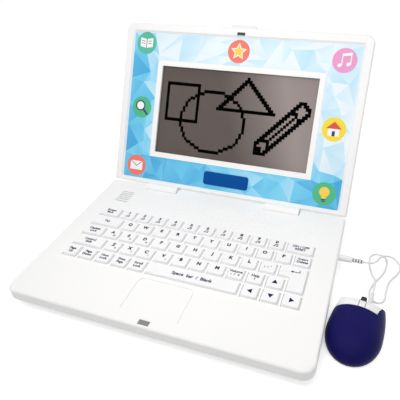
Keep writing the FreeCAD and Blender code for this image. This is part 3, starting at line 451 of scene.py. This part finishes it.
key_lines = {
    "number_keys": "1234567890", "upper_letter_keys": "QWERTYUIOP",
    "middle_letter_keys": "ASDFGHJKL", "lower_letter_keys": "ZXCVBNM",
    "level_key": ["Escape", "Back"], "power_key": ["ON / OFF", "RESET"], "tab_key": ["Tab"],
    "delete_key": ["Insert", "Delete"], "caps_key": ["Capitals", "Lock"], "shift_key": ["Control", "Shift"],
    "volume_key": ["Volume", "-  /  +"], "help_key": ["Help", "?"], "punctuation_key": [";  :  '"],
    "space_bar": ["Space  bar  /  Blank"], "mode_key_1": ["Page", "Up"], "mode_key_2": ["Page", "Down"],
    "mode_key_3": ["Num", "Lock"], "mode_key_4": ["Print", "Page"], "mode_key_5": ["Scroll", "Lock"],
    "enter_key": [], "up_arrow_key": [], "left_arrow_key": [], "down_arrow_key": [], "right_arrow_key": []}
small_signs = {"middle_letter_keys": "@ # &  + - * = ", "lower_letter_keys": "% ( ) ! "}
arrow_turns = {"right": 0.0, "up": 0.5, "left": 1.0, "down": 1.5}
arrow_head = [(2.6, 0.0), (-1.8, 2.7), (-1.8, -2.7)]
return_shaft = [(4.2, 2.6), (3.4, 2.6), (3.4, 0.4), (-2.2, 0.4), (-2.2, -0.4), (4.2, -0.4)]
return_head = [(-4.6, 0.0), (-2.2, -1.5), (-2.2, 1.5)]
note_pair = [disc(-1.6, -3.6, 2.0, 1.5, 0.3), bar(-0.8, -2.4, 0.5, 2.6), disc(1.0, -3.6, 2.0, 1.5, 0.3),
             bar(1.8, -2.4, 0.5, 2.6), bar(0.5, -1.3, 3.1, 0.9)]
letter_size, sign_size, word_size, long_word_size = 5.2, 3.0, 3.9, 5.0
letter_weight, sign_weight, word_weight = 0.06, 0.04, 0.028
figure_raised, letter_raised, word_pitch = 2.3, 1.2, 3.8
sign_right, sign_down, return_right, return_down = 3.6, 3.0, 2.0, 8.0
for name, cells in key_places.items():
    points, faces = [], []
    for i, corners in enumerate(cells):
        x = (min(p[0] for p in corners) + max(p[0] for p in corners)) / 2
        y = (min(p[1] for p in corners) + max(p[1] for p in corners)) / 2
        lines = key_lines[name]
        if isinstance(lines, str):
            raised = figure_raised if name == "number_keys" else letter_raised
            lettering(lines[i], letter_size, letter_weight, x, y + raised, ink_height, points, faces)
            if name == "number_keys":
                for outline in note_pair:
                    plate(placed(outline, x, y), ink_height, points, faces)
            elif small_signs.get(name, "")[i * 2:i * 2 + 1].strip():
                lettering(small_signs[name][i * 2], sign_size, sign_weight, x + sign_right, y - sign_down,
                          ink_height, points, faces)
        elif name == "enter_key":
            x, y = x + return_right, max(p[1] for p in corners) - return_down
            plate(placed(return_shaft, x, y), ink_height, points, faces)
            plate(placed(return_head, x, y), ink_height, points, faces)
        elif name.endswith("arrow_key"):
            turn = math.pi * arrow_turns[name.split("_")[0]]
            plate(placed(arrow_head, x, y, turn), ink_height, points, faces)
        else:
            size = long_word_size if name == "space_bar" else word_size
            for k, line in enumerate(lines):
                line_y = y + word_pitch * ((len(lines) - 1) / 2 - k)
                lettering(line, size, word_weight, x, line_y, ink_height, points, faces, word_film)
    mark = mesh_object("mark_" + name, points, faces)
    dress(mark, ink_blue)
    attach(mark, name)


# Fittings and insides
# Under the deck lie the green board with its rubber key mat, the loudspeaker, the jack socket and
# three cells, and the lid and the mouse hold boards too. Pins and screws are steel, the feet rubber.
metal = bpy.data.node_groups.new("worn_metal", "ShaderNodeTree")
for name, kind, way in [("Colour", "NodeSocketColor", "INPUT"), ("Dull", "NodeSocketColor", "INPUT"),
                        ("Colour", "NodeSocketColor", "OUTPUT"), ("Roughness", "NodeSocketFloat", "OUTPUT")]:
    metal.interface.new_socket(name=name, in_out=way, socket_type=kind)
enter = add_node(metal, "NodeGroupInput")
leave = add_node(metal, "NodeGroupOutput")
where = add_node(metal, "ShaderNodeTexCoord")
stretch = add_node(metal, "ShaderNodeMapping", Scale=(1.0, 12.0, 12.0))
streaks = add_node(metal, "ShaderNodeTexNoise", Scale=260.0, Detail=4.0)
wear = add_node(metal, "ShaderNodeMix", data_type="RGBA")
sheen = add_node(metal, "ShaderNodeMapRange", To_Min=0.22, To_Max=0.48)
metal.links.new(where.outputs["Object"], stretch.inputs["Vector"])
metal.links.new(stretch.outputs["Vector"], streaks.inputs["Vector"])
metal.links.new(streaks.outputs["Fac"], wear.inputs["Factor"])
metal.links.new(enter.outputs["Colour"], wear.inputs["A"])
metal.links.new(enter.outputs["Dull"], wear.inputs["B"])
metal.links.new(streaks.outputs["Fac"], sheen.inputs["Value"])
metal.links.new(wear.outputs["Result"], leave.inputs["Colour"])
metal.links.new(sheen.outputs["Result"], leave.inputs["Roughness"])


def metallic(name, colour, dull):
    """A drawn or ground metal, with fine lines in its colour and its polish."""
    material, tree, shader = new_material(name, Metallic=1.0)
    surface = add_node(tree, "ShaderNodeGroup", node_tree=metal, Colour=linear(*colour), Dull=linear(*dull))
    tree.links.new(surface.outputs["Colour"], shader.inputs["Base Color"])
    tree.links.new(surface.outputs["Roughness"], shader.inputs["Roughness"])
    return material


bright_steel = metallic("bright_steel", (200, 200, 198), (165, 165, 164))
for name in ("hinge_pins", "case_screws", "battery_door_screw", "lid_screws", "mouse_screw",
             "mouse_wheel_pin", "battery_contacts", "plug_pin"):
    dress(nodes[name], bright_steel)
dress(nodes["catch_plate"], moulded("catch_grey", (150, 148, 146), (120, 118, 117), 0.3, 0.5))
dress(nodes["lid_magnet"], moulded("magnet_dark", (62, 64, 63), (48, 50, 50), 0.35, 0.55))
black_plastic = moulded("black_plastic", (30, 30, 32), (44, 44, 46), 0.4, 0.6)
for name in ("speaker", "mouse_socket", "mouse_glide_pads"):
    dress(nodes[name], black_plastic)
grey_rubber = moulded("grey_rubber", (118, 118, 120), (98, 98, 100), 0.7, 0.9, grain_depth=0.05)
for name in ("key_membrane", "rubber_feet"):
    dress(nodes[name], grey_rubber)
green_board = moulded("green_board", (32, 96, 58), (24, 74, 46), 0.3, 0.5)
for name in ("main_board", "display_board", "mouse_board"):
    dress(nodes[name], green_board)
dress(nodes["battery_cells"], moulded("battery_wrap", (54, 60, 66), (74, 80, 88), 0.25, 0.45))


# Lid shell
# The lid is two mouldings screwed together from the back: a white front bezel with the rim, the
# screen's raised frame and the hinge barrels, and a slightly greyer rear cover with the finger tab.
cover_white = moulded("cover_white", (236, 236, 237), (232, 232, 233), 0.28, 0.4)
hinge = next(joint for joint in frame["joints"] if joint["name"] == "lid_hinge")
lean = math.pi - math.radians(hinge["range_deg"][1])
lid_place = Matrix.Translation(hinge["pos_m"]) @ Matrix.Rotation(lean, 4, "X")


def lid_box(name):
    """Lowest and highest corner of a node of the lid, in mm across, up and out of the lid's face."""
    back = lid_place.inverted()
    corners = [back @ v.co for v in nodes[name].data.vertices]
    return [[pick(c[axis] for c in corners) / mm for axis in range(3)] for pick in (min, max)]


(_, lid_foot, _), (lid_right, _, _) = lid_box("lid_rear_cover")
(sheet_left, sheet_foot, sheet_back), (sheet_right, sheet_top, sheet_face) = lid_box("printed_sheet")
rim_face = lid_box("lid_magnet")[1][2]
foot_corner, tight_foot = 4.0, 1.2
recess_corner, tight_recess, recess_gap, wall_slope = 3.0, 0.6, 0.3, 1.8


def crisp_lid(x, s, d):
    """A point of the lid, with tighter corners at its foot and round the sheet's sloped recess."""
    side = 1.0 if x > 0 else -1.0
    end, foot = lid_right - foot_corner, lid_foot + foot_corner
    across, below = abs(x) - end, foot - s
    if across > 0 and below > 0:
        grow = drawn_out(across, below, foot_corner, tight_foot)
        return Vector((side * (end + across * grow), foot - below * grow, d)) * mm
    end, foot = sheet_right + recess_gap - recess_corner, sheet_foot - recess_gap + recess_corner
    top = sheet_top + recess_gap - recess_corner
    way, level = (1.0, top) if s > (foot + top) / 2 else (-1.0, foot)
    across, beyond = abs(x) - end, way * (s - level)
    at_corner = min(across, beyond) > -snug and max(across, beyond) < recess_corner + snug
    if d > sheet_back - snug and at_corner:
        across, beyond = max(across, 0.0), max(beyond, 0.0)
        grow = drawn_out(across, beyond, recess_corner, tight_recess)
        if d > rim_face - snug:
            grow *= 1 + wall_slope / recess_corner
        return Vector((side * (end + across * grow), level + way * beyond * grow, d)) * mm
    return Vector((x, s, d)) * mm


for name, material in (("lid_front_bezel", white_case), ("lid_rear_cover", cover_white)):
    solid = nodes[name].data
    places = [lid_place.inverted() @ v.co / mm for v in solid.vertices]
    shell = mesh_object("shell_" + name, [lid_place @ crisp_lid(*place) for place in places],
                        [tuple(face.vertices) for face in solid.polygons])
    soften(shell)
    dress(shell, material)
    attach(shell, "lid")
    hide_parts(name)


# Printed sheet
# A film glued in the lid's recess round the screen, printed with a mosaic of triangles that runs
# from strong sky blue at the left and the foot to the palest ice blue at the top right.
(window_left, window_foot, window_back), (window_right, window_top, _) = lid_box("screen_window")
frame_border, screen_overlap = 6.15, 3.0
screen_left, screen_right = window_left + screen_overlap, window_right - screen_overlap
screen_foot, screen_top = window_foot + screen_overlap, window_top - screen_overlap
sheet_corner, outer_spacing, inner_spacing = 0.5, 27.0, 24.0
grid_across, grid_up, scatter = 14, 10, 0.38
clear_of_frame, clear_of_edge = 4.0, 5.0
left_fade, top_fade, foot_fade = (-128, -84), (130, 182), (28, 66)
paler_from, paler_to = (-40, 20), (70, 120)
palest, full_blue, paler_by, bluer_by = 0.07, 0.75, 0.13, 0.19
top_loss, middle_loss, uneven = 0.55, 0.35, 0.25
dice = random.Random(11)


def edge_points(corners, spacing):
    """Points along a closed outline at uneven steps of about the spacing."""
    points = []
    for here, there in zip(corners, corners[1:] + corners[:1]):
        here, there = Vector(here), Vector(there)
        count = max(1, round((there - here).length / spacing))
        for k in range(count):
            shift = 0.0 if k == 0 else dice.uniform(-uneven, uneven)
            points.append(here.lerp(there, (k + shift) / count))
    return points


def step(low, high, value):
    """Goes smoothly from 0 at low to 1 at high."""
    t = min(1.0, max(0.0, (value - low) / (high - low)))
    return t * t * (3 - 2 * t)


sheet_outline = ring(oblong(sheet_left, sheet_foot, sheet_right, sheet_top), 0.0, sheet_corner, 2)
outer = edge_points([tuple(p) for p in sheet_outline], outer_spacing)
inner = edge_points(oblong(screen_left - frame_border, screen_foot - frame_border,
                           screen_right + frame_border, screen_top + frame_border), inner_spacing)
sheet_wide, sheet_tall = sheet_right - sheet_left, sheet_top - sheet_foot
loose = []
for i in range(grid_across):
    for j in range(grid_up):
        x = sheet_left + (i + 0.5 + dice.uniform(-scatter, scatter)) * sheet_wide / grid_across
        s = sheet_foot + (j + 0.5 + dice.uniform(-scatter, scatter)) * sheet_tall / grid_up
        off_frame = max(screen_left - x, x - screen_right, screen_foot - s, s - screen_top) - frame_border
        off_edge = min(x - sheet_left, sheet_right - x, s - sheet_foot, sheet_top - s)
        if off_frame > clear_of_frame and off_edge > clear_of_edge:
            loose.append(Vector((x, s)))
edges = [(i, (i + 1) % len(outer)) for i in range(len(outer))]
edges += [(len(outer) + i, len(outer) + (i + 1) % len(inner)) for i in range(len(inner))]
flat, _, triangles, _, _, _ = delaunay_2d_cdt(outer + inner + loose, edges, [], 0, 1e-5)
kept, shades = [], []
for corners in triangles:
    middle = sum((flat[i] for i in corners), Vector((0, 0))) / 3
    if (abs(middle.x) < screen_right + frame_border
            and screen_foot - frame_border < middle.y < screen_top + frame_border):
        continue
    kept.append(tuple(corners))
    left = (1 - step(*left_fade, middle.x)) * (1 - top_loss * step(*top_fade, middle.y))
    paler = step(*paler_from, middle.x) * (1 - step(*paler_to, middle.x))
    foot = (1 - step(*foot_fade, middle.y)) * (1 - middle_loss * paler)
    shades.append(palest + full_blue * max(left, foot) + dice.uniform(-paler_by, bluer_by))
count = len(flat)
points = [Vector((p.x, p.y, sheet_face)) * mm for p in flat]
points += [Vector((p.x, p.y, sheet_back)) * mm for p in flat]
faces = kept + [tuple(count + i for i in reversed(corners)) for corners in kept]
sides = {}
for corners in kept:
    for a, b in zip(corners, corners[1:] + corners[:1]):
        if sides.pop((b, a), None) is None:
            sides[(a, b)] = True
faces += [(b, a, count + a, count + b) for a, b in sides]
print_film = mesh_object("print_film", points, faces, lid_place)
tint = print_film.data.color_attributes.new("facet", "FLOAT_COLOR", "CORNER")
ice, sky, deep = (Vector(linear(*ink)) for ink in ((236, 246, 252), (120, 210, 243), (62, 168, 220)))
sky_share, back_shade, corner_drift = 0.6, 0.3, 0.07
for polygon in print_film.data.polygons:
    shade = shades[polygon.index] if polygon.index < len(kept) else back_shade
    for k, corner in enumerate(polygon.loop_indices):
        blue = min(1.0, max(0.0, shade + corner_drift * (k - 1)))
        if blue < sky_share:
            tint.data[corner].color = ice.lerp(sky, blue / sky_share)
        else:
            tint.data[corner].color = sky.lerp(deep, (blue - sky_share) / (1 - sky_share))
printed, tree, shader = new_material("printed_film", Roughness=0.34)
facet = add_node(tree, "ShaderNodeAttribute", attribute_name="facet")
where = add_node(tree, "ShaderNodeTexCoord")
screen_dots = add_node(tree, "ShaderNodeTexNoise", Scale=2200.0, Detail=1.0)
ink = add_node(tree, "ShaderNodeHueSaturation")
depth = add_node(tree, "ShaderNodeMapRange", To_Min=0.96, To_Max=1.03)
tree.links.new(where.outputs["Object"], screen_dots.inputs["Vector"])
tree.links.new(screen_dots.outputs["Fac"], depth.inputs["Value"])
tree.links.new(depth.outputs["Result"], ink.inputs["Value"])
tree.links.new(facet.outputs["Color"], ink.inputs["Color"])
tree.links.new(ink.outputs["Color"], shader.inputs["Base Color"])
dress(print_film, printed)
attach(print_film, "lid")
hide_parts("printed_sheet")


# Round badges and plate on the sheet
# Seven small coloured discs are printed round the screen, each with a plain picture sign, and a
# plain raised blue plate with a rounded edge is glued below the screen.
badge_radius, badge_film, overprint = 12.5, 0.03, 0.2
badge_places = {"teal": [(-114.4, 168.0)], "coral": [(-1.0, 165.4), (-113.6, 24.0)],
                "pink": [(113.0, 163.8)], "green": [(-113.4, 94.0), (113.4, 25.0)],
                "yellow": [(113.0, 93.6)]}
badge_inks = {"teal": ((86, 192, 162), (78, 184, 152)), "coral": ((244, 126, 108), (238, 116, 100)),
              "pink": ((238, 160, 206), (230, 150, 198)), "green": ((78, 188, 138), (68, 178, 130)),
              "yellow": ((250, 224, 56), (246, 214, 46))}
sign_inks = {"white": ((250, 250, 250), (244, 244, 246)), "dark": ((52, 56, 92), (44, 48, 84)),
             "gold": ((252, 214, 88), (246, 202, 76)), "red": ((224, 78, 66), (214, 70, 60))}


def star(radius, waist, arms):
    """A star outline about zero with that many arms, the first of them upright."""
    spokes = [(radius if i % 2 == 0 else waist, math.pi / 2 + math.pi * i / arms) for i in range(2 * arms)]
    return [(r * math.cos(a), r * math.sin(a)) for r, a in spokes]


(book,), (notes,), (house,) = badge_places["teal"], badge_places["pink"], badge_places["yellow"]
(starry, letter), (magnifier, bulb) = badge_places["coral"], badge_places["green"]
signs = [
    (book, "white", [(-8, -4), (0, -5.5), (0, 4.5), (-8, 6)]),
    (book, "white", [(0, -5.5), (8, -4), (8, 6), (0, 4.5)]),
    (book, "dark", bar(0, -0.4, 0.7, 10.4)),
    (book, "dark", bar(-4.1, 2.2, 4.8, 0.6, -0.18)),
    (book, "dark", bar(4.1, 2.2, 4.8, 0.6, 0.18)),
    (book, "dark", bar(-4.1, -0.4, 4.8, 0.6, -0.18)),
    (book, "dark", bar(4.1, -0.4, 4.8, 0.6, 0.18)),
    (starry, "white", star(9.6, 4.6, 5)),
    (starry, "gold", star(7.8, 3.5, 5)),
    (notes, "white", disc(-4.4, -5.0, 4.6, 3.6, 0.3)),
    (notes, "white", disc(4.4, -3.4, 4.6, 3.6, 0.3)),
    (notes, "white", bar(-2.5, 0.6, 1.0, 10.6)),
    (notes, "white", bar(6.3, 2.2, 1.0, 10.6)),
    (notes, "white", [(-3.0, 4.0), (6.8, 5.6), (6.8, 8.4), (-3.0, 6.8)]),
    (magnifier, "dark", bar(4.8, -5.0, 9.0, 2.4, -math.pi / 4)),
    (magnifier, "dark", disc(-1.8, 1.8, 12.4)),
    (magnifier, "white", disc(-1.8, 1.8, 9.4)),
    (house, "red", [(-8.2, 0.6), (8.2, 0.6), (0, 8.2)]),
    (house, "white", oblong(-5.8, -7, 5.8, 0.6)),
    (house, "dark", bar(0, -4.4, 3.2, 5.2)),
    (letter, "white", oblong(-8, -5.4, 8, 5.4)),
    (letter, "dark", bar(-3.8, 2.4, 9.6, 0.7, -0.65)),
    (letter, "dark", bar(3.8, 2.4, 9.6, 0.7, 0.65)),
    (bulb, "gold", disc(0, 2.0, 11.0)),
    (bulb, "gold", bar(0, -3.4, 5.0, 3.4)),
    (bulb, "dark", bar(0, -6.2, 5.0, 1.1)),
    (bulb, "dark", bar(0, -8.0, 4.0, 1.1)),
]
for name, spots in badge_places.items():
    points, faces = [], []
    for x, s in spots:
        plate(disc(x, s, 2 * badge_radius, count=64), sheet_face, points, faces, badge_film)
    badge = mesh_object("badge_" + name, points, faces, lid_place)
    dress(badge, moulded("badge_" + name, *badge_inks[name], 0.3, 0.42))
    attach(badge, "lid")
for name, inks in sign_inks.items():
    points, faces = [], []
    for k, (spot, ink_name, outline) in enumerate(signs):
        if ink_name == name:
            film = badge_film * (1 + overprint * k)
            plate(placed(outline, *spot), sheet_face + badge_film, points, faces, film)
    sign = mesh_object("sign_" + name, points, faces, lid_place)
    dress(sign, moulded("sign_" + name, *inks, 0.3, 0.42))
    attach(sign, "lid")

plate_corners = oblong(-25.0, 14.5, 28.6, 29.8)
plate_edge = [(0.0, 3.0, 0.0), (0.0, 3.0, 0.5), (0.15, 2.9, 0.76), (0.45, 2.7, 0.9)]
points, faces = [], []
stack([(ring(plate_corners, inset, radius), sheet_face + rise) for inset, radius, rise in plate_edge],
      points, faces)
blue_plate = mesh_object("blue_plate", points, faces, lid_place)
soften(blue_plate)
dress(blue_plate, moulded("blue_plate", (2, 80, 156), (2, 72, 146), 0.25, 0.35, shine=0.1))
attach(blue_plate, "lid")


# Screen
# A plain dot-matrix LCD lies behind a clear acrylic window. Its brownish grey glass looks darker
# at the left, and black square dots draw a square, a ring, a triangle and a pencil on it.
glass_margin, glass_film = 2.0, 0.05
points, faces = [], []
plate(oblong(screen_left - glass_margin, screen_foot - glass_margin,
             screen_right + glass_margin, screen_top + glass_margin), window_back, points, faces, glass_film)
glass = mesh_object("lcd_glass", points, faces, lid_place)
lcd, tree, shader = new_material("lcd_glass", Roughness=0.45, Specular_IOR_Level=0.05)
where = add_node(tree, "ShaderNodeTexCoord")
split = add_node(tree, "ShaderNodeSeparateXYZ")
across = add_node(tree, "ShaderNodeMapRange", From_Min=screen_left * mm, From_Max=screen_right * mm)
upward = add_node(tree, "ShaderNodeMapRange", From_Min=screen_foot * mm, From_Max=screen_top * mm,
                  To_Min=-0.10, To_Max=0.06)
lean_in = add_node(tree, "ShaderNodeMath", operation="ADD")
cloud = add_node(tree, "ShaderNodeTexNoise", Scale=14.0, Detail=2.0)
haze = add_node(tree, "ShaderNodeMapRange", To_Min=-0.03, To_Max=0.03)
drifted = add_node(tree, "ShaderNodeMath", operation="ADD")
ramp = add_node(tree, "ShaderNodeValToRGB")
stops = [(0.0, (101, 92, 88)), (0.45, (100, 91, 88)), (0.66, (127, 117, 114)), (0.84, (159, 148, 144)),
         (1.0, (153, 142, 139))]
for place, _ in stops[1:-1]:
    ramp.color_ramp.elements.new(place)
for element, (place, colour) in zip(ramp.color_ramp.elements, stops):
    element.position = place
    element.color = linear(*colour)
tree.links.new(where.outputs["Object"], split.inputs["Vector"])
tree.links.new(where.outputs["Object"], cloud.inputs["Vector"])
tree.links.new(split.outputs["X"], across.inputs["Value"])
tree.links.new(split.outputs["Y"], upward.inputs["Value"])
tree.links.new(across.outputs["Result"], lean_in.inputs[0])
tree.links.new(upward.outputs["Result"], lean_in.inputs[1])
tree.links.new(cloud.outputs["Fac"], haze.inputs["Value"])
tree.links.new(lean_in.outputs["Value"], drifted.inputs[0])
tree.links.new(haze.outputs["Result"], drifted.inputs[1])
tree.links.new(drifted.outputs["Value"], ramp.inputs["Fac"])
tree.links.new(ramp.outputs["Color"], shader.inputs["Base Color"])
dress(glass, lcd)
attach(glass, "lid")

dot_across, dot_up, dot_bleed, first_row = 2.74, 2.95, 0.75, 1.55
dot_film, dot_overlap = 0.02, 0.01
dots = set()


def dot_run(column, row, count, across=1, up=0):
    """Sets a run of dots from a column and row of the display, step by step."""
    dots.update((column + across * k, row + up * k) for k in range(count))


# The square
for shift in (0, 14):
    dot_run(-30, 28 + shift, 15)
    dot_run(-30 + shift, 28, 15, 0, 1)

# The ring
ring_column, ring_row, ring_wide, ring_tall = -9, 28, 14, 11.5
for k in range(-10, 11):
    reach = ring_tall * math.sqrt(1 - (k / ring_wide) ** 2)
    upper, lower = math.floor(ring_row + 1 + reach), math.ceil(ring_row - reach)
    dots.update({(ring_column + k, upper), (ring_column + k, lower)})
for k in range(1, 9):
    reach = ring_wide * math.sqrt(1 - ((k - 0.5) / ring_tall) ** 2)
    dots.update((math.floor(ring_column + 0.5 + side * reach), row)
                for side in (-1, 1) for row in (ring_row + k, ring_row + 1 - k))

# The triangle
dots.add((5, 46))
dot_run(-7, 34, 25)
for shift in (0, 1):
    dot_run(-6 + shift, 35, 11, 1, 1)
    dot_run(16 - shift, 35, 11, -1, 1)

# The pencil: its long sides, its point at the foot, and the band and rubber at its upper end
dot_run(17, 25, 9, 1, 1)
for shift in (0, 1):
    dot_run(13 + shift, 25, 14, 1, 1)
    dot_run(15 + shift, 20, 13, 1, 1)
    dot_run(11 + shift, 20, 2, 0, 1)
    dot_run(29 + shift, 38, 2, 1, -1)
    dot_run(28 + shift, 33, 3, 1, 1)
dot_run(11, 19, 5)
dot_run(11, 19, 5, 0, 1)
dot_run(12, 24, 5)
dot_run(16, 21, 4, 0, 1)
dot_run(27, 39, 3)
dots.update({(13, 20), (13, 21), (12, 23)})
dots.update({(31, 36), (25, 36), (25, 35), (26, 35), (26, 34), (27, 33), (27, 32)})

points, faces = [], []
for column, row in sorted(dots):
    square = bar(column * dot_across, first_row + row * dot_up, dot_across + dot_bleed, dot_up + dot_bleed)
    thick = dot_film + dot_overlap * ((column + row) % 2)
    plate(square, window_back + glass_film, points, faces, thick)
picture = mesh_object("lcd_dots", points, faces, lid_place)
dress(picture, moulded("lcd_black", (2, 2, 2), (4, 4, 4), 0.5, 0.65, shine=0.0))
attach(picture, "lid")
dress(nodes["display_module"], moulded("lcd_body", (96, 92, 90), (84, 80, 78), 0.4, 0.6))

clear, tree, shader = new_material("clear_acrylic", Base_Color=linear(34, 33, 32))
where = add_node(tree, "ShaderNodeTexCoord")
smear = add_node(tree, "ShaderNodeTexNoise", Scale=45.0, Detail=4.0)
clean = add_node(tree, "ShaderNodeMapRange", To_Min=0.05, To_Max=0.14)
thin = add_node(tree, "ShaderNodeMapRange", To_Min=0.010, To_Max=0.020)
tree.links.new(where.outputs["Object"], smear.inputs["Vector"])
tree.links.new(smear.outputs["Fac"], clean.inputs["Value"])
tree.links.new(smear.outputs["Fac"], thin.inputs["Value"])
tree.links.new(clean.outputs["Result"], shader.inputs["Roughness"])
tree.links.new(thin.outputs["Result"], shader.inputs["Alpha"])
for name in ("screen_window", "mouse_lens"):
    dress(nodes[name], clear)


# Mouse
# The small mouse has a navy palm cover that reaches forward as a thumb grip on its right, two white
# buttons parted by a dark wheel, and a white bottom case, all moulded ABS, on two slick pads.
navy_gloss = moulded("navy_gloss", (28, 26, 90), (24, 20, 84), 0.35, 0.45, shine=0.06)
palm_low, palm_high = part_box("mouse_palm_cover")
skirt_rise, crown_drop = 4.0 * mm, 2.0 * mm
tree = navy_gloss.node_tree
surface = next(node for node in tree.nodes if node.type == "GROUP")
where = add_node(tree, "ShaderNodeTexCoord")
split = add_node(tree, "ShaderNodeSeparateXYZ")
# Painted shade: the navy is drawn darker towards the cover's skirt and lighter at its crown, for how the
# light falls on it.
shade_by_height = add_node(tree, "ShaderNodeMapRange", From_Min=palm_low[2] + skirt_rise,
                 From_Max=palm_high[2] - crown_drop)
painted_low_shade = add_node(tree, "ShaderNodeMix", data_type="RGBA", A=linear(16, 9, 76), B=linear(28, 26, 90))
tree.links.new(where.outputs["Object"], split.inputs["Vector"])
tree.links.new(split.outputs["Z"], shade_by_height.inputs["Value"])
tree.links.new(shade_by_height.outputs["Result"], painted_low_shade.inputs["Factor"])
tree.links.new(painted_low_shade.outputs["Result"], surface.inputs["Colour"])
dress(nodes["mouse_palm_cover"], navy_gloss)
for name in ("mouse_left_button", "mouse_right_button", "mouse_bottom_case"):
    dress(nodes[name], white_case)

wheel_low, wheel_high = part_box("mouse_wheel")
wheel_middle = (wheel_low + wheel_high) / 2
spin = next(joint for joint in frame["joints"] if joint["name"] == "mouse_wheel_spin")
axle = Vector(spin["axis"]).normalized()
tyre_radius = (wheel_high.z - wheel_low.z) / 2 / mm
notch, notch_foot, ribs = 0.25, 4.0, 22
upward_side = Vector((0, 0, 1))
ahead = upward_side.cross(axle)
profile = [(-2.5, 0.66), (-2.5, 3.8), (-2.35, 4.35), (-1.9, 4.75), (-1.0, tyre_radius),
           (1.0, tyre_radius), (1.9, 4.75), (2.35, 4.35), (2.5, 3.8), (2.5, 0.66)]
points, faces = [], []
spokes = 4 * ribs
for along_axle, radius in profile:
    for i in range(spokes):
        turn = 2 * math.pi * i / spokes
        cut = notch if radius > notch_foot and i % 4 in (0, 1) else 0.0
        reach = (radius - cut) * (math.cos(turn) * upward_side + math.sin(turn) * ahead)
        points.append(wheel_middle + (along_axle * axle + reach) * mm)
for j in range(len(profile)):
    here, there = j * spokes, (j + 1) % len(profile) * spokes
    for i in range(spokes):
        k = (i + 1) % spokes
        faces.append((here + i, here + k, there + k, there + i))
tyre = mesh_object("wheel_tyre", points, faces)
soften(tyre, 30.0)
dress(tyre, moulded("wheel_rubber", (30, 30, 64), (24, 24, 54), 0.45, 0.6))
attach(tyre, "mouse_wheel")
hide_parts("mouse_wheel")


# Cord and plug
# A thin white vinyl cord runs from a ribbed plug in the right wall down to the table, lies there in
# two loose bends and rises into the mouse's nose through a tapered sleeve.
white_vinyl = moulded("white_vinyl", (240, 240, 240), (232, 232, 233), 0.4, 0.55)
dress(nodes["mouse_strain_relief"], white_vinyl)
plug_vinyl = moulded("plug_vinyl", (238, 238, 238), (230, 230, 231), 0.4, 0.55)
sleeve_start, rib_pitch, rib_share = 153.0, 2.5, 0.5
# Painted shade: along the plug's ribbed sleeve, every groove is drawn dark grey for the shade that falls in
# it.
tree = plug_vinyl.node_tree
surface = next(node for node in tree.nodes if node.type == "GROUP")
where = add_node(tree, "ShaderNodeTexCoord")
split = add_node(tree, "ShaderNodeSeparateXYZ")
ribbed = add_node(tree, "ShaderNodeMapRange", clamp=False, From_Min=sleeve_start * mm,
                  From_Max=(sleeve_start + rib_pitch) * mm)
beyond = add_node(tree, "ShaderNodeMath", operation="GREATER_THAN")
beyond.inputs[1].default_value = 0.0
groove = add_node(tree, "ShaderNodeMath", operation="FRACT")
sunk = add_node(tree, "ShaderNodeMath", operation="LESS_THAN")
sunk.inputs[1].default_value = rib_share
# The groove mask, and the mix that paints their shade in grey over the white vinyl.
shaded_grooves = add_node(tree, "ShaderNodeMath", operation="MULTIPLY")
groove_shade = add_node(tree, "ShaderNodeMix", data_type="RGBA", A=linear(238, 238, 238), B=linear(128, 127, 126))
tree.links.new(where.outputs["Object"], split.inputs["Vector"])
tree.links.new(split.outputs["X"], ribbed.inputs["Value"])
tree.links.new(ribbed.outputs["Result"], beyond.inputs[0])
tree.links.new(ribbed.outputs["Result"], groove.inputs[0])
tree.links.new(groove.outputs[0], sunk.inputs[0])
tree.links.new(sunk.outputs[0], shaded_grooves.inputs[0])
tree.links.new(beyond.outputs[0], shaded_grooves.inputs[1])
tree.links.new(shaded_grooves.outputs[0], groove_shade.inputs["Factor"])
tree.links.new(groove_shade.outputs["Result"], surface.inputs["Colour"])
tree.links.new(groove_shade.outputs["Result"], surface.inputs["Flow"])
dress(nodes["mouse_plug"], plug_vinyl)
cord_width, cord_length = 2.1, 259.8
rest = cord_width / 2
cord_route = [
    (163.0, 39.5, 16.0), (171.0, 39.5, 16.0), (176.2, 47.2, 14.6), (178.0, 56.5, 11.0), (185.0, 66.0, 7.0),
    (194.0, 67.0, 3.4), (199.5, 57.5, rest), (195.0, 46.5, rest), (188.5, 36.0, rest), (186.5, 21.5, rest),
    (186.0, 10.4, rest), (181.9, 6.3, rest), (176.1, 6.3, rest), (172.0, 10.4, rest), (171.9, 20.0, rest),
    (176.0, 31.0, rest), (182.5, 43.0, rest), (186.0, 55.5, rest), (185.5, 67.3, rest), (180.8, 72.0, rest),
    (174.2, 72.0, rest), (169.5, 67.3, rest), (169.0, 59.0, rest), (170.3, 49.5, rest), (172.8, 39.0, 2.8),
    (176.0, 30.5, 5.4), (176.024, 19.338, 7.0), (174.979, 11.407, 7.0)]
curve = bpy.data.curves.new("cord", "CURVE")
curve.dimensions = "3D"
curve.bevel_depth = rest * mm
curve.bevel_resolution = 6
curve.resolution_u = 10
curve.use_fill_caps = True
spline = curve.splines.new("NURBS")
spline.points.add(len(cord_route) - 1)
for point, place in zip(spline.points, cord_route):
    point.co = (place[0] * mm, place[1] * mm, place[2] * mm, 1.0)
spline.order_u = 3
spline.use_endpoint_u = True
cord = bpy.data.objects.new("cord", curve)
bpy.context.scene.collection.objects.link(cord)
dress(cord, white_vinyl)
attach(cord, "mouse")
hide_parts("mouse_cord")
